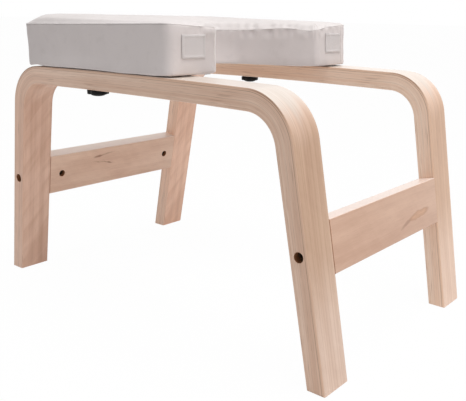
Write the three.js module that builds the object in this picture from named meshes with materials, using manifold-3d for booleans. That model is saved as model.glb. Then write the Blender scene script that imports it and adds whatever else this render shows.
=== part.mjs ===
// Headstand stool: two bent laminated frames joined by two cross rails, and a padded U cushion
// that two hand knobs clamp on top of the frames' hand rails.
// Sizes are in millimetres. X runs along the frames, and +X is the open end, where the hand rails
// lie bare. Y runs across them and Z is up. The origin is on the floor, midway between the feet.

import * as THREE from 'three';
import { mergeVertices } from 'three/addons/utils/BufferGeometryUtils.js';
import Module from 'manifold-3d';

const wasm = await Module();
wasm.setup();

// Driving sizes of the wooden frame
const footSpread = 625;
const stoolWidth = 372;
const railTopHeight = 330;
const legSplay = THREE.MathUtils.degToRad(11.8);
const stripWidth = 49.5;
const stripThickness = 24.6;
const bendRadius = 54;
const railArchRadius = 11300;
const easedEdge = 1.5;

// Driving sizes of the cross rails and of the joints that hold them
const crossRailHeight = 64;
const jointUpLeg = 160;
const boltRadius = 3;
const boltHeadRadius = 5;
const boltHeadLength = 6;
const boltTip = 2;
const boltKeyAcross = 5;
const boltKeyDepth = 3;
const counterboreRadius = 6.2;
const counterboreDepth = 14;
const nutSetback = 22.5;
const nutRadius = 5;
const nutLength = 14;
const nutSlotWidth = 1.2;
const nutSlotDepth = 1;
const nutHoleDepth = 20;
const dowelRadius = 4;
const dowelLength = 40;
const dowelOffset = 20;
const dowelChamfer = 1;

// Driving sizes of the cushion, seen from above
const closedEndX = -219;
const openEndX = 75.5;
const closedCornerRadius = 24;
const armOuterRadius = 12;
const armInnerRadius = 6;
const mouthHalfWidth = 104;
const mouthFlare = THREE.MathUtils.degToRad(21.4);
const throatRadius = 71.5;
const sideBow = 1.6;
const tightestRadius = 0.6;

// Driving sizes of the cushion, seen from the side
const bandHeight = 55.2;
const seamRise = 5;
const seamDip = 6.5;
const crownHeight = 11.3;
const crownFall = 3;
const drawIn = 1;
const bottomRound = 2.8;
const coverThickness = 1.2;
const hemWidth = 12;
const boardThickness = 12;
const labelWidth = 40;
const labelHeight = 27;
const labelThickness = 0.8;
const labelCorner = 1.5;
const labelAboveHem = 33.7;

// Driving sizes of the clamp that holds the cushion down
const knobX = -88;
const studRadius = 4;
const studHeadroom = 1;
const knobRadius = 15.8;
const knobRim = 5.8;
const knobDome = 2.9;
const knobDomeRadius = 9.8;
const knobFlute = 1.6;
const knobEdge = 1;
const knobGrip = 6.5;
const washerRadius = 11;
const washerThickness = 1.2;
const insertFlangeRadius = 9.5;
const insertFlange = 1.5;
const insertWall = 1.3;
const insertLength = 10;
const insertPocket = 0.8;

// Clearances: between pieces that rest on each other, round pins in holes, and the cuts' overrun
const restGap = 0.3;
const holeGap = 0.3;
const overrun = 2;

// Counts of facets
const bendSteps = 12;
const archSteps = 10;
const roundSteps = 20;
const finePinSteps = 16;
const domeSteps = 4;

// The knobs' lobes, and the profile of the cushion as shares of its heights and draw-in
const knobLobes = 6;
const knobLobeSteps = 7;
const crownRunOfArmShare = 0.415;
const crownRunShares = [0, 0.1, 0.28, 0.6, 1];
const innerCrownRunShares = [0, 0.28, 0.6, 1];
const bandProfileShares = [[1, 0], [0.3, 0.5]];
const roundTurnShare = 0.3;
const crownPower = 2.3;
const bowShares = [0.25, 0.5, 0.75];

// Finishes
const finishes = {
  birch: { color: 0xd8b797, roughness: 0.5, metalness: 0 },
  beech: { color: 0xc9a27c, roughness: 0.7, metalness: 0 },
  plywood: { color: 0xc8a882, roughness: 0.7, metalness: 0 },
  steel: { color: 0x9a9c9e, roughness: 0.35, metalness: 0.9 },
  blackSteel: { color: 0x1f1c19, roughness: 0.5, metalness: 0.6 },
  cover: { color: 0xded6d1, roughness: 0.75, metalness: 0 },
  foam: { color: 0xe8dcae, roughness: 0.95, metalness: 0 },
  label: { color: 0xd8cfca, roughness: 0.8, metalness: 0 },
  plastic: { color: 0x1a1a1b, roughness: 0.45, metalness: 0 },
};

// Places that follow from the driving sizes
const halfWidth = stoolWidth / 2;
const halfThickness = stripThickness / 2;
const frameY = halfWidth - stripWidth / 2;
const railSpan = stoolWidth - 2 * stripWidth;
const hemBottom = railTopHeight + restGap;
const boardBottom = hemBottom + coverThickness + restGap;
const boardTop = boardBottom + boardThickness;
const seamHeight = hemBottom + bandHeight;
const armWidth = halfWidth - mouthHalfWidth;
const crownRun = crownRunOfArmShare * armWidth;
const coverInset = coverThickness + restGap;
const studHoleRadius = studRadius + holeGap;

// Solids: between three.js geometry and closed bodies that can be cut and joined
function solidOf(geometry) {
  const plain = geometry.index ? geometry.toNonIndexed() : geometry.clone();
  plain.deleteAttribute('normal');
  plain.deleteAttribute('uv');
  const merged = mergeVertices(plain);
  return new wasm.Manifold(new wasm.Mesh({
    numProp: 3,
    vertProperties: Float32Array.from(merged.attributes.position.array),
    triVerts: Uint32Array.from(merged.index.array),
  }));
}

function geometryOf(solid) {
  const mesh = solid.getMesh();
  const geometry = new THREE.BufferGeometry();
  geometry.setAttribute('position', new THREE.BufferAttribute(Float32Array.from(mesh.vertProperties), 3));
  geometry.setIndex(new THREE.BufferAttribute(Uint32Array.from(mesh.triVerts), 1));
  geometry.computeVertexNormals();
  return geometry;
}

function cut(geometry, tools) {
  let solid = solidOf(geometry);
  for (const tool of tools) {
    solid = solid.subtract(solidOf(tool));
  }
  return geometryOf(solid);
}

function joined(first, second) {
  return geometryOf(solidOf(first).add(solidOf(second)));
}

// A round rod along Y, from one end's y to the other's
function rodAlongY(radius, fromY, toY, steps = roundSteps) {
  const rod = new THREE.CylinderGeometry(radius, radius, Math.abs(toY - fromY), steps);
  return rod.translate(0, (fromY + toY) / 2, 0);
}

function rodAlongZ(radius, fromZ, toZ, steps = roundSteps) {
  return rodAlongY(radius, fromZ, toZ, steps).rotateX(Math.PI / 2);
}

function rodAlongX(radius, fromX, toX, steps = roundSteps) {
  return rodAlongY(radius, -toX, -fromX, steps).rotateZ(Math.PI / 2);
}

function turned(profile, steps = roundSteps) {
  const points = profile.map(([radius, along]) => new THREE.Vector2(radius, along));
  return new THREE.LatheGeometry(points, steps);
}

// The strip's side view. The centre line of a leg leaves the floor, runs into a round bend and
// then into the long flat arch of the hand rail. Every point is worked out for the +X half.
const footCentreX = footSpread / 2 - halfThickness / Math.cos(legSplay);
const legUp = new THREE.Vector2(-Math.sin(legSplay), Math.cos(legSplay));
const legOut = new THREE.Vector2(Math.cos(legSplay), Math.sin(legSplay));
const archCentre = new THREE.Vector2(0, railTopHeight - halfThickness - railArchRadius);

function bendCentre() {
  const start = new THREE.Vector2(footCentreX, 0).addScaledVector(legOut, -bendRadius);
  const toStart = start.clone().sub(archCentre);
  const along = toStart.dot(legUp);
  const reach = railArchRadius - bendRadius;
  const distance = -along + Math.sqrt(along * along - toStart.lengthSq() + reach * reach);
  return start.addScaledVector(legUp, distance);
}

const bend = bendCentre();
const bendStart = legSplay;
const bendEnd = bend.clone().sub(archCentre).angle();

function halfStripLine(offset) {
  const footX = footCentreX + offset / Math.cos(legSplay);
  const points = [new THREE.Vector2(footX, 0)];
  for (let i = 0; i <= bendSteps; i += 1) {
    const angle = THREE.MathUtils.lerp(bendStart, bendEnd, i / bendSteps);
    const spoke = new THREE.Vector2(Math.cos(angle), Math.sin(angle));
    points.push(bend.clone().addScaledVector(spoke, bendRadius + offset));
  }
  for (let i = 1; i < archSteps / 2; i += 1) {
    const angle = THREE.MathUtils.lerp(bendEnd, Math.PI / 2, (2 * i) / archSteps);
    const spoke = new THREE.Vector2(Math.cos(angle), Math.sin(angle));
    points.push(archCentre.clone().addScaledVector(spoke, railArchRadius + offset));
  }
  return points;
}

function stripLine(offset) {
  const half = halfStripLine(offset);
  const crown = new THREE.Vector2(0, archCentre.y + railArchRadius + offset);
  const mirrored = half.map((point) => new THREE.Vector2(-point.x, point.y)).reverse();
  return [...half, crown, ...mirrored];
}

// The height of the hand rail's underside at a place along X
function railUnderside(x) {
  const radius = railArchRadius - halfThickness;
  return archCentre.y + Math.sqrt(radius * radius - x * x);
}

// Joint centres: the middle of the strip, at jointUpLeg along the leg from the floor
function jointPlace(side) {
  const centre = new THREE.Vector2(footCentreX, 0).addScaledVector(legUp, jointUpLeg);
  return new THREE.Vector3(side * centre.x, 0, centre.y);
}

// Puts a geometry that is made about a joint's centre, with Z up the leg, where it belongs
function atJoint(geometry, side) {
  const place = jointPlace(side);
  return geometry.rotateY(-side * legSplay).translate(place.x, place.y, place.z);
}

// Bent frame: a laminated strip with eased edges, bolt and dowel holes in both legs and the
// stud hole in the hand rail. outward is -1 on the near frame and 1 on the far one.
function frameGeometry(outward) {
  const outline = [...stripLine(halfThickness), ...stripLine(-halfThickness).reverse()];
  const strip = new THREE.ExtrudeGeometry(new THREE.Shape(outline), {
    depth: stripWidth - 2 * easedEdge,
    steps: 1,
    bevelEnabled: true,
    bevelThickness: easedEdge,
    bevelSize: easedEdge,
    bevelOffset: -easedEdge,
    bevelSegments: 2,
  });
  strip.translate(0, 0, easedEdge - stripWidth / 2).rotateX(Math.PI / 2).translate(0, outward * frameY, 0);

  const outerFace = outward * halfWidth;
  const innerFace = outward * (halfWidth - stripWidth);
  const tools = [];
  for (const side of [-1, 1]) {
    const beyond = outerFace + outward * overrun;
    const inside = innerFace - outward * overrun;
    tools.push(atJoint(rodAlongY(boltRadius + holeGap, beyond, inside, finePinSteps), side));
    const floor = outerFace - outward * counterboreDepth;
    tools.push(atJoint(rodAlongY(counterboreRadius, beyond, floor), side));
    for (const up of [-dowelOffset, dowelOffset]) {
      const bottom = innerFace + outward * (dowelLength / 2 + holeGap);
      const hole = rodAlongY(dowelRadius + holeGap, inside, bottom, finePinSteps).translate(0, 0, up);
      tools.push(atJoint(hole, side));
    }
  }
  const studHole = rodAlongZ(studHoleRadius, railUnderside(knobX) - overrun, railTopHeight + overrun);
  tools.push(studHole.translate(knobX, outward * frameY, 0));
  return cut(strip, tools);
}

// Cross rail: a solid board between two legs, with eased long edges, made about its joint centre.
// The barrel nuts' holes open on the face that looks under the stool.
function crossRailGeometry(side) {
  const halfThick = halfThickness - easedEdge;
  const halfHigh = crossRailHeight / 2 - easedEdge;
  const section = new THREE.Shape();
  section.absarc(halfThick, halfHigh, easedEdge, 0, Math.PI / 2);
  section.absarc(-halfThick, halfHigh, easedEdge, Math.PI / 2, Math.PI);
  section.absarc(-halfThick, -halfHigh, easedEdge, Math.PI, 1.5 * Math.PI);
  section.absarc(halfThick, -halfHigh, easedEdge, 1.5 * Math.PI, 2 * Math.PI);
  const length = railSpan - 2 * restGap;
  const board = new THREE.ExtrudeGeometry(section, { depth: length, bevelEnabled: false, curveSegments: 3 });
  board.translate(0, 0, -length / 2).rotateX(Math.PI / 2);

  const innerX = -side * halfThickness;
  const endY = railSpan / 2;
  const tools = [];
  for (const end of [-1, 1]) {
    const beyond = end * (endY + overrun);
    const nutY = end * (endY - nutSetback);
    const boltEnd = nutY - end * (nutRadius + boltTip + holeGap);
    tools.push(rodAlongY(boltRadius + holeGap, beyond, boltEnd, finePinSteps));
    const nutMouth = innerX - side * overrun;
    const nutFloor = innerX + side * nutHoleDepth;
    tools.push(rodAlongX(nutRadius + holeGap, nutMouth, nutFloor).translate(0, nutY, 0));
    for (const up of [-dowelOffset, dowelOffset]) {
      const bottom = end * (endY - dowelLength / 2 - holeGap);
      tools.push(rodAlongY(dowelRadius + holeGap, beyond, bottom, finePinSteps).translate(0, 0, up));
    }
  }
  return cut(board, tools);
}

// Frame bolt: a socket-head bolt along Y. Its head lies at the bottom of the counterbore, and its
// shank passes through the leg and the rail's end into the barrel nut.
function boltGeometry(end) {
  const seat = halfWidth - counterboreDepth + restGap;
  const tip = railSpan / 2 - nutSetback - nutRadius - boltTip;
  const chamfer = boltTip / 2;
  const profile = [
    [0, tip],
    [boltRadius - chamfer, tip],
    [boltRadius, tip + chamfer],
    [boltRadius, seat],
    [boltHeadRadius, seat],
    [boltHeadRadius, seat + boltHeadLength],
    [0, seat + boltHeadLength],
  ];
  const keyRadius = boltKeyAcross / Math.sqrt(3);
  const top = seat + boltHeadLength;
  const key = rodAlongY(keyRadius, top - boltKeyDepth, top + overrun, 6);
  const bolt = cut(turned(profile, finePinSteps), [key]);
  return end > 0 ? bolt : bolt.rotateZ(Math.PI);
}

// Barrel nut: a steel cylinder across the rail, with the bolt's hole and a slot in its open end
function barrelNutGeometry(side, end) {
  const nutY = end * (railSpan / 2 - nutSetback);
  const body = rodAlongX(nutRadius, -nutLength / 2, nutLength / 2).translate(0, nutY, 0);
  const reach = nutRadius + overrun;
  const boltHole = rodAlongY(boltRadius + holeGap, nutY - reach, nutY + reach, finePinSteps);
  const slot = new THREE.BoxGeometry(2 * nutSlotDepth, 2 * reach, nutSlotWidth);
  slot.translate(-side * (nutLength / 2), nutY, 0);
  return cut(body, [boltHole, slot]);
}

// Dowel pin along Y, half in the leg and half in the rail, with chamfered ends
function dowelGeometry(end, up) {
  const half = dowelLength / 2;
  const middle = end * (railSpan / 2);
  const profile = [
    [0, -half],
    [dowelRadius - dowelChamfer, -half],
    [dowelRadius, dowelChamfer - half],
    [dowelRadius, half - dowelChamfer],
    [dowelRadius - dowelChamfer, half],
    [0, half],
  ];
  return turned(profile, finePinSteps).translate(0, middle, up);
}

// The cushion's outline seen from above: a U with straight edges between round corners. Its
// throat is one wide hollow corner, and its walls flare from there to the mouth. Each corner is
// { x, y, radius, steps }, and bowed marks that the edge after it is drawn in between its ends.
const throatX = openEndX - mouthHalfWidth / Math.tan(mouthFlare);
const throatDepthX = throatX + throatRadius / Math.sin(mouthFlare) - throatRadius;
const throat = { x: throatX, y: 0, radius: throatRadius, steps: 10 };
const upperCorners = [
  { x: openEndX, y: mouthHalfWidth, radius: armInnerRadius, steps: 3 },
  { x: openEndX, y: halfWidth, radius: armOuterRadius, steps: 3, bowed: true },
  { x: closedEndX, y: halfWidth, radius: closedCornerRadius, steps: 5, bowed: true },
];
const lowerCorners = [
  { x: closedEndX, y: -halfWidth, radius: closedCornerRadius, steps: 5, bowed: true },
  { x: openEndX, y: -halfWidth, radius: armOuterRadius, steps: 3 },
  { x: openEndX, y: -mouthHalfWidth, radius: armInnerRadius, steps: 3 },
];
const cushionCorners = [throat, ...upperCorners, ...lowerCorners];

function edgeDirection(from, to) {
  return new THREE.Vector2(to.x - from.x, to.y - from.y).normalize();
}

// The arc of one corner, when the outline is drawn in by inset all round
function cornerArc(corner, before, after, inset) {
  const into = edgeDirection(before, corner);
  const away = edgeDirection(corner, after);
  const turn = Math.atan2(into.cross(away), into.dot(away));
  const hollow = turn < 0;
  const radius = hollow ? corner.radius + inset : Math.max(corner.radius - inset, tightestRadius);
  const depth = hollow ? -corner.radius : inset + radius;
  const inward = new THREE.Vector2(-into.y, into.x);
  const centre = new THREE.Vector2(corner.x, corner.y);
  centre.addScaledVector(inward, depth).addScaledVector(into, -depth * Math.tan(turn / 2));
  const start = hollow ? inward.angle() : inward.angle() + Math.PI;
  const points = [];
  for (let i = 0; i <= corner.steps; i += 1) {
    const angle = start + (turn * i) / corner.steps;
    const spoke = new THREE.Vector2(Math.cos(angle), Math.sin(angle));
    points.push(centre.clone().addScaledVector(spoke, radius));
  }
  return points;
}

function cushionOutline(inset) {
  const count = cushionCorners.length;
  const arcs = cushionCorners.map((corner, i) => {
    const before = cushionCorners[(i + count - 1) % count];
    const after = cushionCorners[(i + 1) % count];
    return cornerArc(corner, before, after, inset);
  });
  const outline = [];
  arcs.forEach((arc, i) => {
    outline.push(...arc);
    if (!cushionCorners[i].bowed) {
      return;
    }
    const from = arc[arc.length - 1];
    const to = arcs[(i + 1) % count][0];
    const along = edgeDirection(from, to);
    const inward = new THREE.Vector2(-along.y, along.x);
    for (const share of bowShares) {
      const point = from.clone().lerp(to, share);
      outline.push(point.addScaledVector(inward, sideBow * Math.sin(Math.PI * share)));
    }
  });
  return outline;
}

// How far a place along X lies from the closed end to the open one, as a share about the middle
function towardsOpenEnd(x) {
  return (x - closedEndX) / (openEndX - closedEndX) - 0.5;
}

// How far a point lies from the outer sides and the closed end towards the throat and the arms'
// inner walls, as a share
function towardsThroat(point) {
  const acrossArm = THREE.MathUtils.clamp((halfWidth - Math.abs(point.y)) / armWidth, 0, 1);
  return acrossArm * THREE.MathUtils.smoothstep(point.x, closedEndX, throatDepthX);
}

// The seam between the band and the top panel climbs towards the open end and dips round the
// throat, and the crown falls towards the open end
function seamAt(point) {
  return seamHeight + seamRise * towardsOpenEnd(point.x) - seamDip * towardsThroat(point);
}

function crownTopAt(x) {
  return seamHeight + crownHeight - crownFall * towardsOpenEnd(x);
}

// A closed body from a run of rings, each { inset, height }, where height gives z for a point
// seen from above. With caps, the first ring is closed upwards and the last one downwards. Without caps,
// the last ring joins the first. Each quad is split from its first point on the inner ring, so
// that layers that lie in one another bend alike.
function ringBody(rings, capped) {
  const outlines = rings.map((ring) => cushionOutline(ring.inset));
  const count = outlines[0].length;
  const vertices = [];
  outlines.forEach((outline, level) => {
    outline.forEach((point) => vertices.push(point.x, point.y, rings[level].height(point)));
  });
  const triangles = [];
  const bands = capped ? rings.length - 1 : rings.length;
  for (let level = 0; level < bands; level += 1) {
    const below = (level + 1) % rings.length;
    const inwards = rings[below].inset > rings[level].inset;
    for (let i = 0; i < count; i += 1) {
      const next = (i + 1) % count;
      const a = level * count + i;
      const b = level * count + next;
      const c = below * count + next;
      const d = below * count + i;
      if (inwards) {
        triangles.push(a, d, b, b, d, c);
      } else {
        triangles.push(a, d, c, a, c, b);
      }
    }
  }
  if (capped) {
    const last = (rings.length - 1) * count;
    for (const [a, b, c] of THREE.ShapeUtils.triangulateShape(outlines[0], [])) {
      triangles.push(a, b, c);
    }
    for (const [a, b, c] of THREE.ShapeUtils.triangulateShape(outlines[rings.length - 1], [])) {
      triangles.push(last + a, last + c, last + b);
    }
  }
  const geometry = new THREE.BufferGeometry();
  geometry.setAttribute('position', new THREE.BufferAttribute(new Float32Array(vertices), 3));
  geometry.setIndex(triangles);
  geometry.computeVertexNormals();
  return geometry;
}

// One ring of the crown, at a share of its run in from the seam. lining is how far the ring lies
// inside the cover's outer face.
function crownRing(share, lining, seamShift) {
  const rise = 1 - (1 - share) ** crownPower;
  return {
    inset: lining + share * crownRun,
    height: (point) => {
      const foot = seamAt(point) + seamShift;
      return THREE.MathUtils.lerp(foot, crownTopAt(point.x), rise) - share * lining;
    },
  };
}

// One ring of the side band, at a share of the band's height and of its draw-in
function bandRing([heightShare, drawShare], lining) {
  return {
    inset: lining + drawShare * drawIn,
    height: (point) => THREE.MathUtils.lerp(hemBottom, seamAt(point) - restGap / 2, heightShare),
  };
}

function levelRing(inset, z) {
  return { inset, height: () => z };
}

// Top panel: the domed upper side of the cover, open towards the foam
function topPanelGeometry() {
  const outside = crownRunShares.map((share) => crownRing(share, 0, restGap / 2));
  const inside = innerCrownRunShares.map((share) => crownRing(share, coverThickness, restGap / 2));
  return ringBody([...outside.reverse(), ...inside], true);
}

// Side band: the drawn-in side of the cover, turned under the board in a flat hem
function sideBandGeometry() {
  const hemInset = drawIn + bottomRound + hemWidth;
  const turnBack = roundTurnShare * bottomRound;
  return ringBody([
    ...bandProfileShares.map((shares) => bandRing(shares, 0)),
    levelRing(drawIn, hemBottom + bottomRound),
    levelRing(drawIn + turnBack, hemBottom + turnBack),
    levelRing(drawIn + bottomRound, hemBottom),
    levelRing(hemInset, hemBottom),
    levelRing(hemInset, hemBottom + coverThickness),
    levelRing(drawIn + coverThickness, hemBottom + coverThickness),
    ...bandProfileShares.map((shares) => bandRing(shares, coverThickness)).reverse(),
  ], false);
}

// Foam core: fills the cover above the board, with a pocket over each threaded insert
function foamGeometry() {
  const crown = innerCrownRunShares.map((share) => crownRing(share, coverInset, -restGap / 2));
  const foot = levelRing(drawIn + coverInset, boardTop + restGap);
  const pockets = [-1, 1].map((side) => {
    const top = boardTop + restGap + insertFlange + insertPocket;
    const pocket = rodAlongZ(insertFlangeRadius + insertPocket, boardTop - overrun, top, finePinSteps);
    return pocket.translate(knobX, side * frameY, 0);
  });
  return cut(ringBody([...crown.reverse(), foot], true), pockets);
}

// Board: the plywood U that the cover is drawn round, bored for the threaded inserts
function boardGeometry() {
  const outline = new THREE.Shape(cushionOutline(drawIn + coverInset));
  const board = new THREE.ExtrudeGeometry(outline, { depth: boardThickness, bevelEnabled: false });
  board.translate(0, 0, boardBottom);
  const holes = [-1, 1].map((side) => {
    const radius = studHoleRadius + insertWall + holeGap;
    const hole = rodAlongZ(radius, boardBottom - overrun, boardTop + overrun);
    return hole.translate(knobX, side * frameY, 0);
  });
  return cut(board, holes);
}

// Threaded insert: a steel sleeve in the board, with a flange on the board's upper face
function insertGeometry() {
  const flangeBottom = boardTop + restGap;
  const profile = [
    [studHoleRadius, flangeBottom - insertLength],
    [studHoleRadius + insertWall, flangeBottom - insertLength],
    [studHoleRadius + insertWall, flangeBottom],
    [insertFlangeRadius, flangeBottom],
    [insertFlangeRadius, flangeBottom + insertFlange],
    [studHoleRadius, flangeBottom + insertFlange],
    [studHoleRadius, flangeBottom - insertLength],
  ];
  return turned(profile).rotateX(Math.PI / 2);
}

// Clamp stack below the hand rail: washer, knob and the threaded stud fixed in the knob
const washerTop = railUnderside(Math.abs(knobX) + washerRadius) - restGap;
const washerBottom = washerTop - washerThickness;
const knobTop = washerBottom - restGap;
const knobRimBottom = knobTop - knobRim;

function washerGeometry() {
  const profile = [
    [studHoleRadius, washerBottom],
    [washerRadius, washerBottom],
    [washerRadius, washerTop],
    [studHoleRadius, washerTop],
    [studHoleRadius, washerBottom],
  ];
  return turned(profile).rotateX(Math.PI / 2);
}

function knobGeometry() {
  const outline = [];
  const steps = knobLobes * knobLobeSteps;
  for (let i = 0; i < steps; i += 1) {
    const angle = (2 * Math.PI * i) / steps;
    const radius = knobRadius - knobFlute * (1 + Math.cos(knobLobes * angle)) / 2;
    outline.push(new THREE.Vector2(radius * Math.cos(angle), radius * Math.sin(angle)));
  }
  const rim = new THREE.ExtrudeGeometry(new THREE.Shape(outline), {
    depth: knobRim - 2 * knobEdge,
    bevelEnabled: true,
    bevelThickness: knobEdge,
    bevelSize: knobEdge,
    bevelOffset: -knobEdge,
    bevelSegments: 1,
  });
  rim.translate(0, 0, knobRimBottom + knobEdge);
  const bulge = (knobDomeRadius * knobDomeRadius + knobDome * knobDome) / (2 * knobDome);
  const sweep = Math.asin(knobDomeRadius / bulge);
  const domeTop = knobRimBottom + knobRim / 2;
  const profile = [[0, domeTop], [knobDomeRadius, domeTop]];
  for (let i = 0; i <= domeSteps; i += 1) {
    const angle = THREE.MathUtils.lerp(sweep, 0, i / domeSteps);
    const radius = i < domeSteps ? bulge * Math.sin(angle) : 0;
    profile.push([radius, knobRimBottom - bulge * (Math.cos(angle) - Math.cos(sweep))]);
  }
  const dome = turned(profile.reverse()).rotateX(Math.PI / 2);
  const bore = rodAlongZ(studRadius + holeGap, knobTop - knobGrip - holeGap, knobTop + overrun);
  return cut(joined(rim, dome), [bore]);
}

function studGeometry() {
  const bottom = knobTop - knobGrip;
  const top = boardTop + insertFlange - studHeadroom;
  const chamfer = studHeadroom;
  const profile = [
    [0, bottom],
    [studRadius, bottom],
    [studRadius, top - chamfer],
    [studRadius - chamfer, top],
    [0, top],
  ];
  return turned(profile).rotateX(Math.PI / 2);
}

// Blank label: a small square of cloth sewn on the end of a cushion arm, made flat about its
// middle, standing in the YZ plane and leaning with the side band
function labelGeometry() {
  const halfY = labelWidth / 2 - labelCorner;
  const halfZ = labelHeight / 2 - labelCorner;
  const quarter = Math.PI / 2;
  const shape = new THREE.Shape();
  shape.absarc(halfY, halfZ, labelCorner, 0, quarter);
  shape.absarc(-halfY, halfZ, labelCorner, quarter, 2 * quarter);
  shape.absarc(-halfY, -halfZ, labelCorner, 2 * quarter, 3 * quarter);
  shape.absarc(halfY, -halfZ, labelCorner, 3 * quarter, 4 * quarter);
  const label = new THREE.ExtrudeGeometry(shape, {
    depth: labelThickness,
    bevelEnabled: false,
    curveSegments: 3,
  });
  return label.rotateX(quarter).rotateZ(quarter);
}

// The side band's profile at the arms' ends, as [height above the hem, draw-in], top first
const armMiddle = halfWidth - armWidth / 2;
const endBandHeight = seamAt(new THREE.Vector2(openEndX, armMiddle)) - hemBottom;
const endProfile = bandProfileShares.map(([heightShare, drawShare]) => [
  heightShare * endBandHeight,
  drawShare * drawIn,
]);
endProfile.push([bottomRound, drawIn]);

function bandInset(height) {
  const lower = Math.max(1, endProfile.findIndex(([at]) => at <= height));
  const [highAt, highInset] = endProfile[lower - 1];
  const [lowAt, lowInset] = endProfile[lower];
  return THREE.MathUtils.mapLinear(height, lowAt, highAt, lowInset, highInset);
}

// Assembly
const stool = new THREE.Group();

function addPiece(parent, name, geometry, finishName) {
  const piece = new THREE.Mesh(geometry, new THREE.MeshStandardMaterial(finishes[finishName]));
  piece.name = name;
  parent.add(piece);
  return piece;
}

const frameSides = [['near', -1], ['far', 1]];
const stoolEnds = [['closed_end', -1], ['open_end', 1]];

for (const [frameName, outward] of frameSides) {
  addPiece(stool, `${frameName}_bent_frame`, frameGeometry(outward), 'birch');
}

for (const [endName, side] of stoolEnds) {
  const joint = new THREE.Group();
  joint.position.copy(jointPlace(side));
  joint.rotation.y = -side * legSplay;
  stool.add(joint);
  addPiece(joint, `${endName}_cross_rail`, crossRailGeometry(side), 'birch');
  for (const [frameName, outward] of frameSides) {
    addPiece(joint, `${endName}_${frameName}_bolt`, boltGeometry(outward), 'blackSteel');
    addPiece(joint, `${endName}_${frameName}_barrel_nut`, barrelNutGeometry(side, outward), 'blackSteel');
    addPiece(joint, `${endName}_${frameName}_upper_dowel`, dowelGeometry(outward, dowelOffset), 'beech');
    addPiece(joint, `${endName}_${frameName}_lower_dowel`, dowelGeometry(outward, -dowelOffset), 'beech');
  }
}

addPiece(stool, 'cushion_board', boardGeometry(), 'plywood');
addPiece(stool, 'cushion_foam', foamGeometry(), 'foam');
addPiece(stool, 'cushion_side_band', sideBandGeometry(), 'cover');
addPiece(stool, 'cushion_top_panel', topPanelGeometry(), 'cover');

// Each label lies against the end of an arm and leans with the band behind it
const labelTopInset = bandInset(labelAboveHem + labelHeight / 2);
const labelFootInset = bandInset(labelAboveHem - labelHeight / 2);
const labelLean = Math.atan2(labelFootInset - labelTopInset, labelHeight);
const labelMiddleInset = (labelTopInset + labelFootInset) / 2;

// How far the band bulges past the label's straight back, at the bends of its profile
const labelStandOff = Math.max(0, ...endProfile.map(([at, draw]) => {
  const up = at - labelAboveHem;
  const behind = labelMiddleInset - up * Math.tan(labelLean) - draw;
  return Math.abs(up) < labelHeight / 2 ? behind : 0;
}));

for (const [frameName, outward] of frameSides) {
  const label = addPiece(stool, `${frameName}_arm_label`, labelGeometry(), 'label');
  const labelX = openEndX - labelMiddleInset + labelStandOff + restGap;
  label.position.set(labelX, outward * armMiddle, hemBottom + labelAboveHem);
  label.rotation.y = labelLean;

  const clamp = new THREE.Group();
  clamp.position.set(knobX, outward * frameY, 0);
  stool.add(clamp);
  addPiece(clamp, `${frameName}_threaded_insert`, insertGeometry(), 'steel');
  addPiece(clamp, `${frameName}_clamp_washer`, washerGeometry(), 'steel');
  addPiece(clamp, `${frameName}_clamp_knob`, knobGeometry(), 'plastic');
  addPiece(clamp, `${frameName}_clamp_stud`, studGeometry(), 'steel');
}

export default stool;
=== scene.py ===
import math

import bmesh
import bpy
import numpy as np
from mathutils import Matrix, Vector, noise
from mathutils.bvhtree import BVHTree
from mathutils.geometry import delaunay_2d_cdt


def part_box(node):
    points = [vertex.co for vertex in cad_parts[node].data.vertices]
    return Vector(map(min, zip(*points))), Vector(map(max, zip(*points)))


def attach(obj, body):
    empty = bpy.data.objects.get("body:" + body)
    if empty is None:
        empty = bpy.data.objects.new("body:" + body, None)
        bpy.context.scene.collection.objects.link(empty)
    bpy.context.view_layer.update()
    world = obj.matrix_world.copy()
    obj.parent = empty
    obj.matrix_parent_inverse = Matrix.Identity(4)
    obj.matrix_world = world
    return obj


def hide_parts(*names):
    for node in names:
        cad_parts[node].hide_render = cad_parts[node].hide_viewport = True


# Headstand stool: two bent laminated frames joined by two cross rails, and a padded U cushion that
# two hand knobs clamp on top of the hand rails. Metres; +X is the open end, where the rails lie bare.
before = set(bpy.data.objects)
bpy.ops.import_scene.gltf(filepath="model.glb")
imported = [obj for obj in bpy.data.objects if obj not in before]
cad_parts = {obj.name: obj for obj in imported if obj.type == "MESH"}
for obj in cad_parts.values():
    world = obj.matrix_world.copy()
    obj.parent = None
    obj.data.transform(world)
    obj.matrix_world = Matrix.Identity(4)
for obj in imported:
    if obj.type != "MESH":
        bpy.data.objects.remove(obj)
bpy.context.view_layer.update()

# The bent frames. Each is one strip of thin birch veneers, glued and bent in a press into two
# splayed legs and a gently arched hand rail, with its long edges eased. It is bored for two frame
# bolts, four dowels and the clamp's stud. Its narrow sides show the edges of the veneers.
frame_low, frame_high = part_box("near_bent_frame")
strip_width = frame_high.y - frame_low.y
strip_thickness = 0.0246
half_strip = strip_thickness / 2
leg_splay = math.radians(11.8)
bend_radius = 0.054
hand_rail_arch = 11.3
eased_edge = 0.0015
hand_rail_top = frame_high.z
stool_half_width = -frame_low.y
strip_y = stool_half_width - strip_width / 2
foot_overrun = 0.012
foot_centre = Vector((frame_high.x - half_strip / math.cos(leg_splay), 0))
leg_up = Vector((-math.sin(leg_splay), math.cos(leg_splay)))
leg_out = Vector((math.cos(leg_splay), math.sin(leg_splay)))
arch_centre = Vector((0, hand_rail_top - half_strip - hand_rail_arch))


def bend_centre():
    """The bend's centre: on the leg's inner side, where leg and arch both meet the bend smoothly."""
    start = foot_centre - bend_radius * leg_out
    to_start = start - arch_centre
    along = to_start.dot(leg_up)
    reach = hand_rail_arch - bend_radius
    return start + leg_up * (math.sqrt(along * along - to_start.length_squared + reach * reach) - along)


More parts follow.
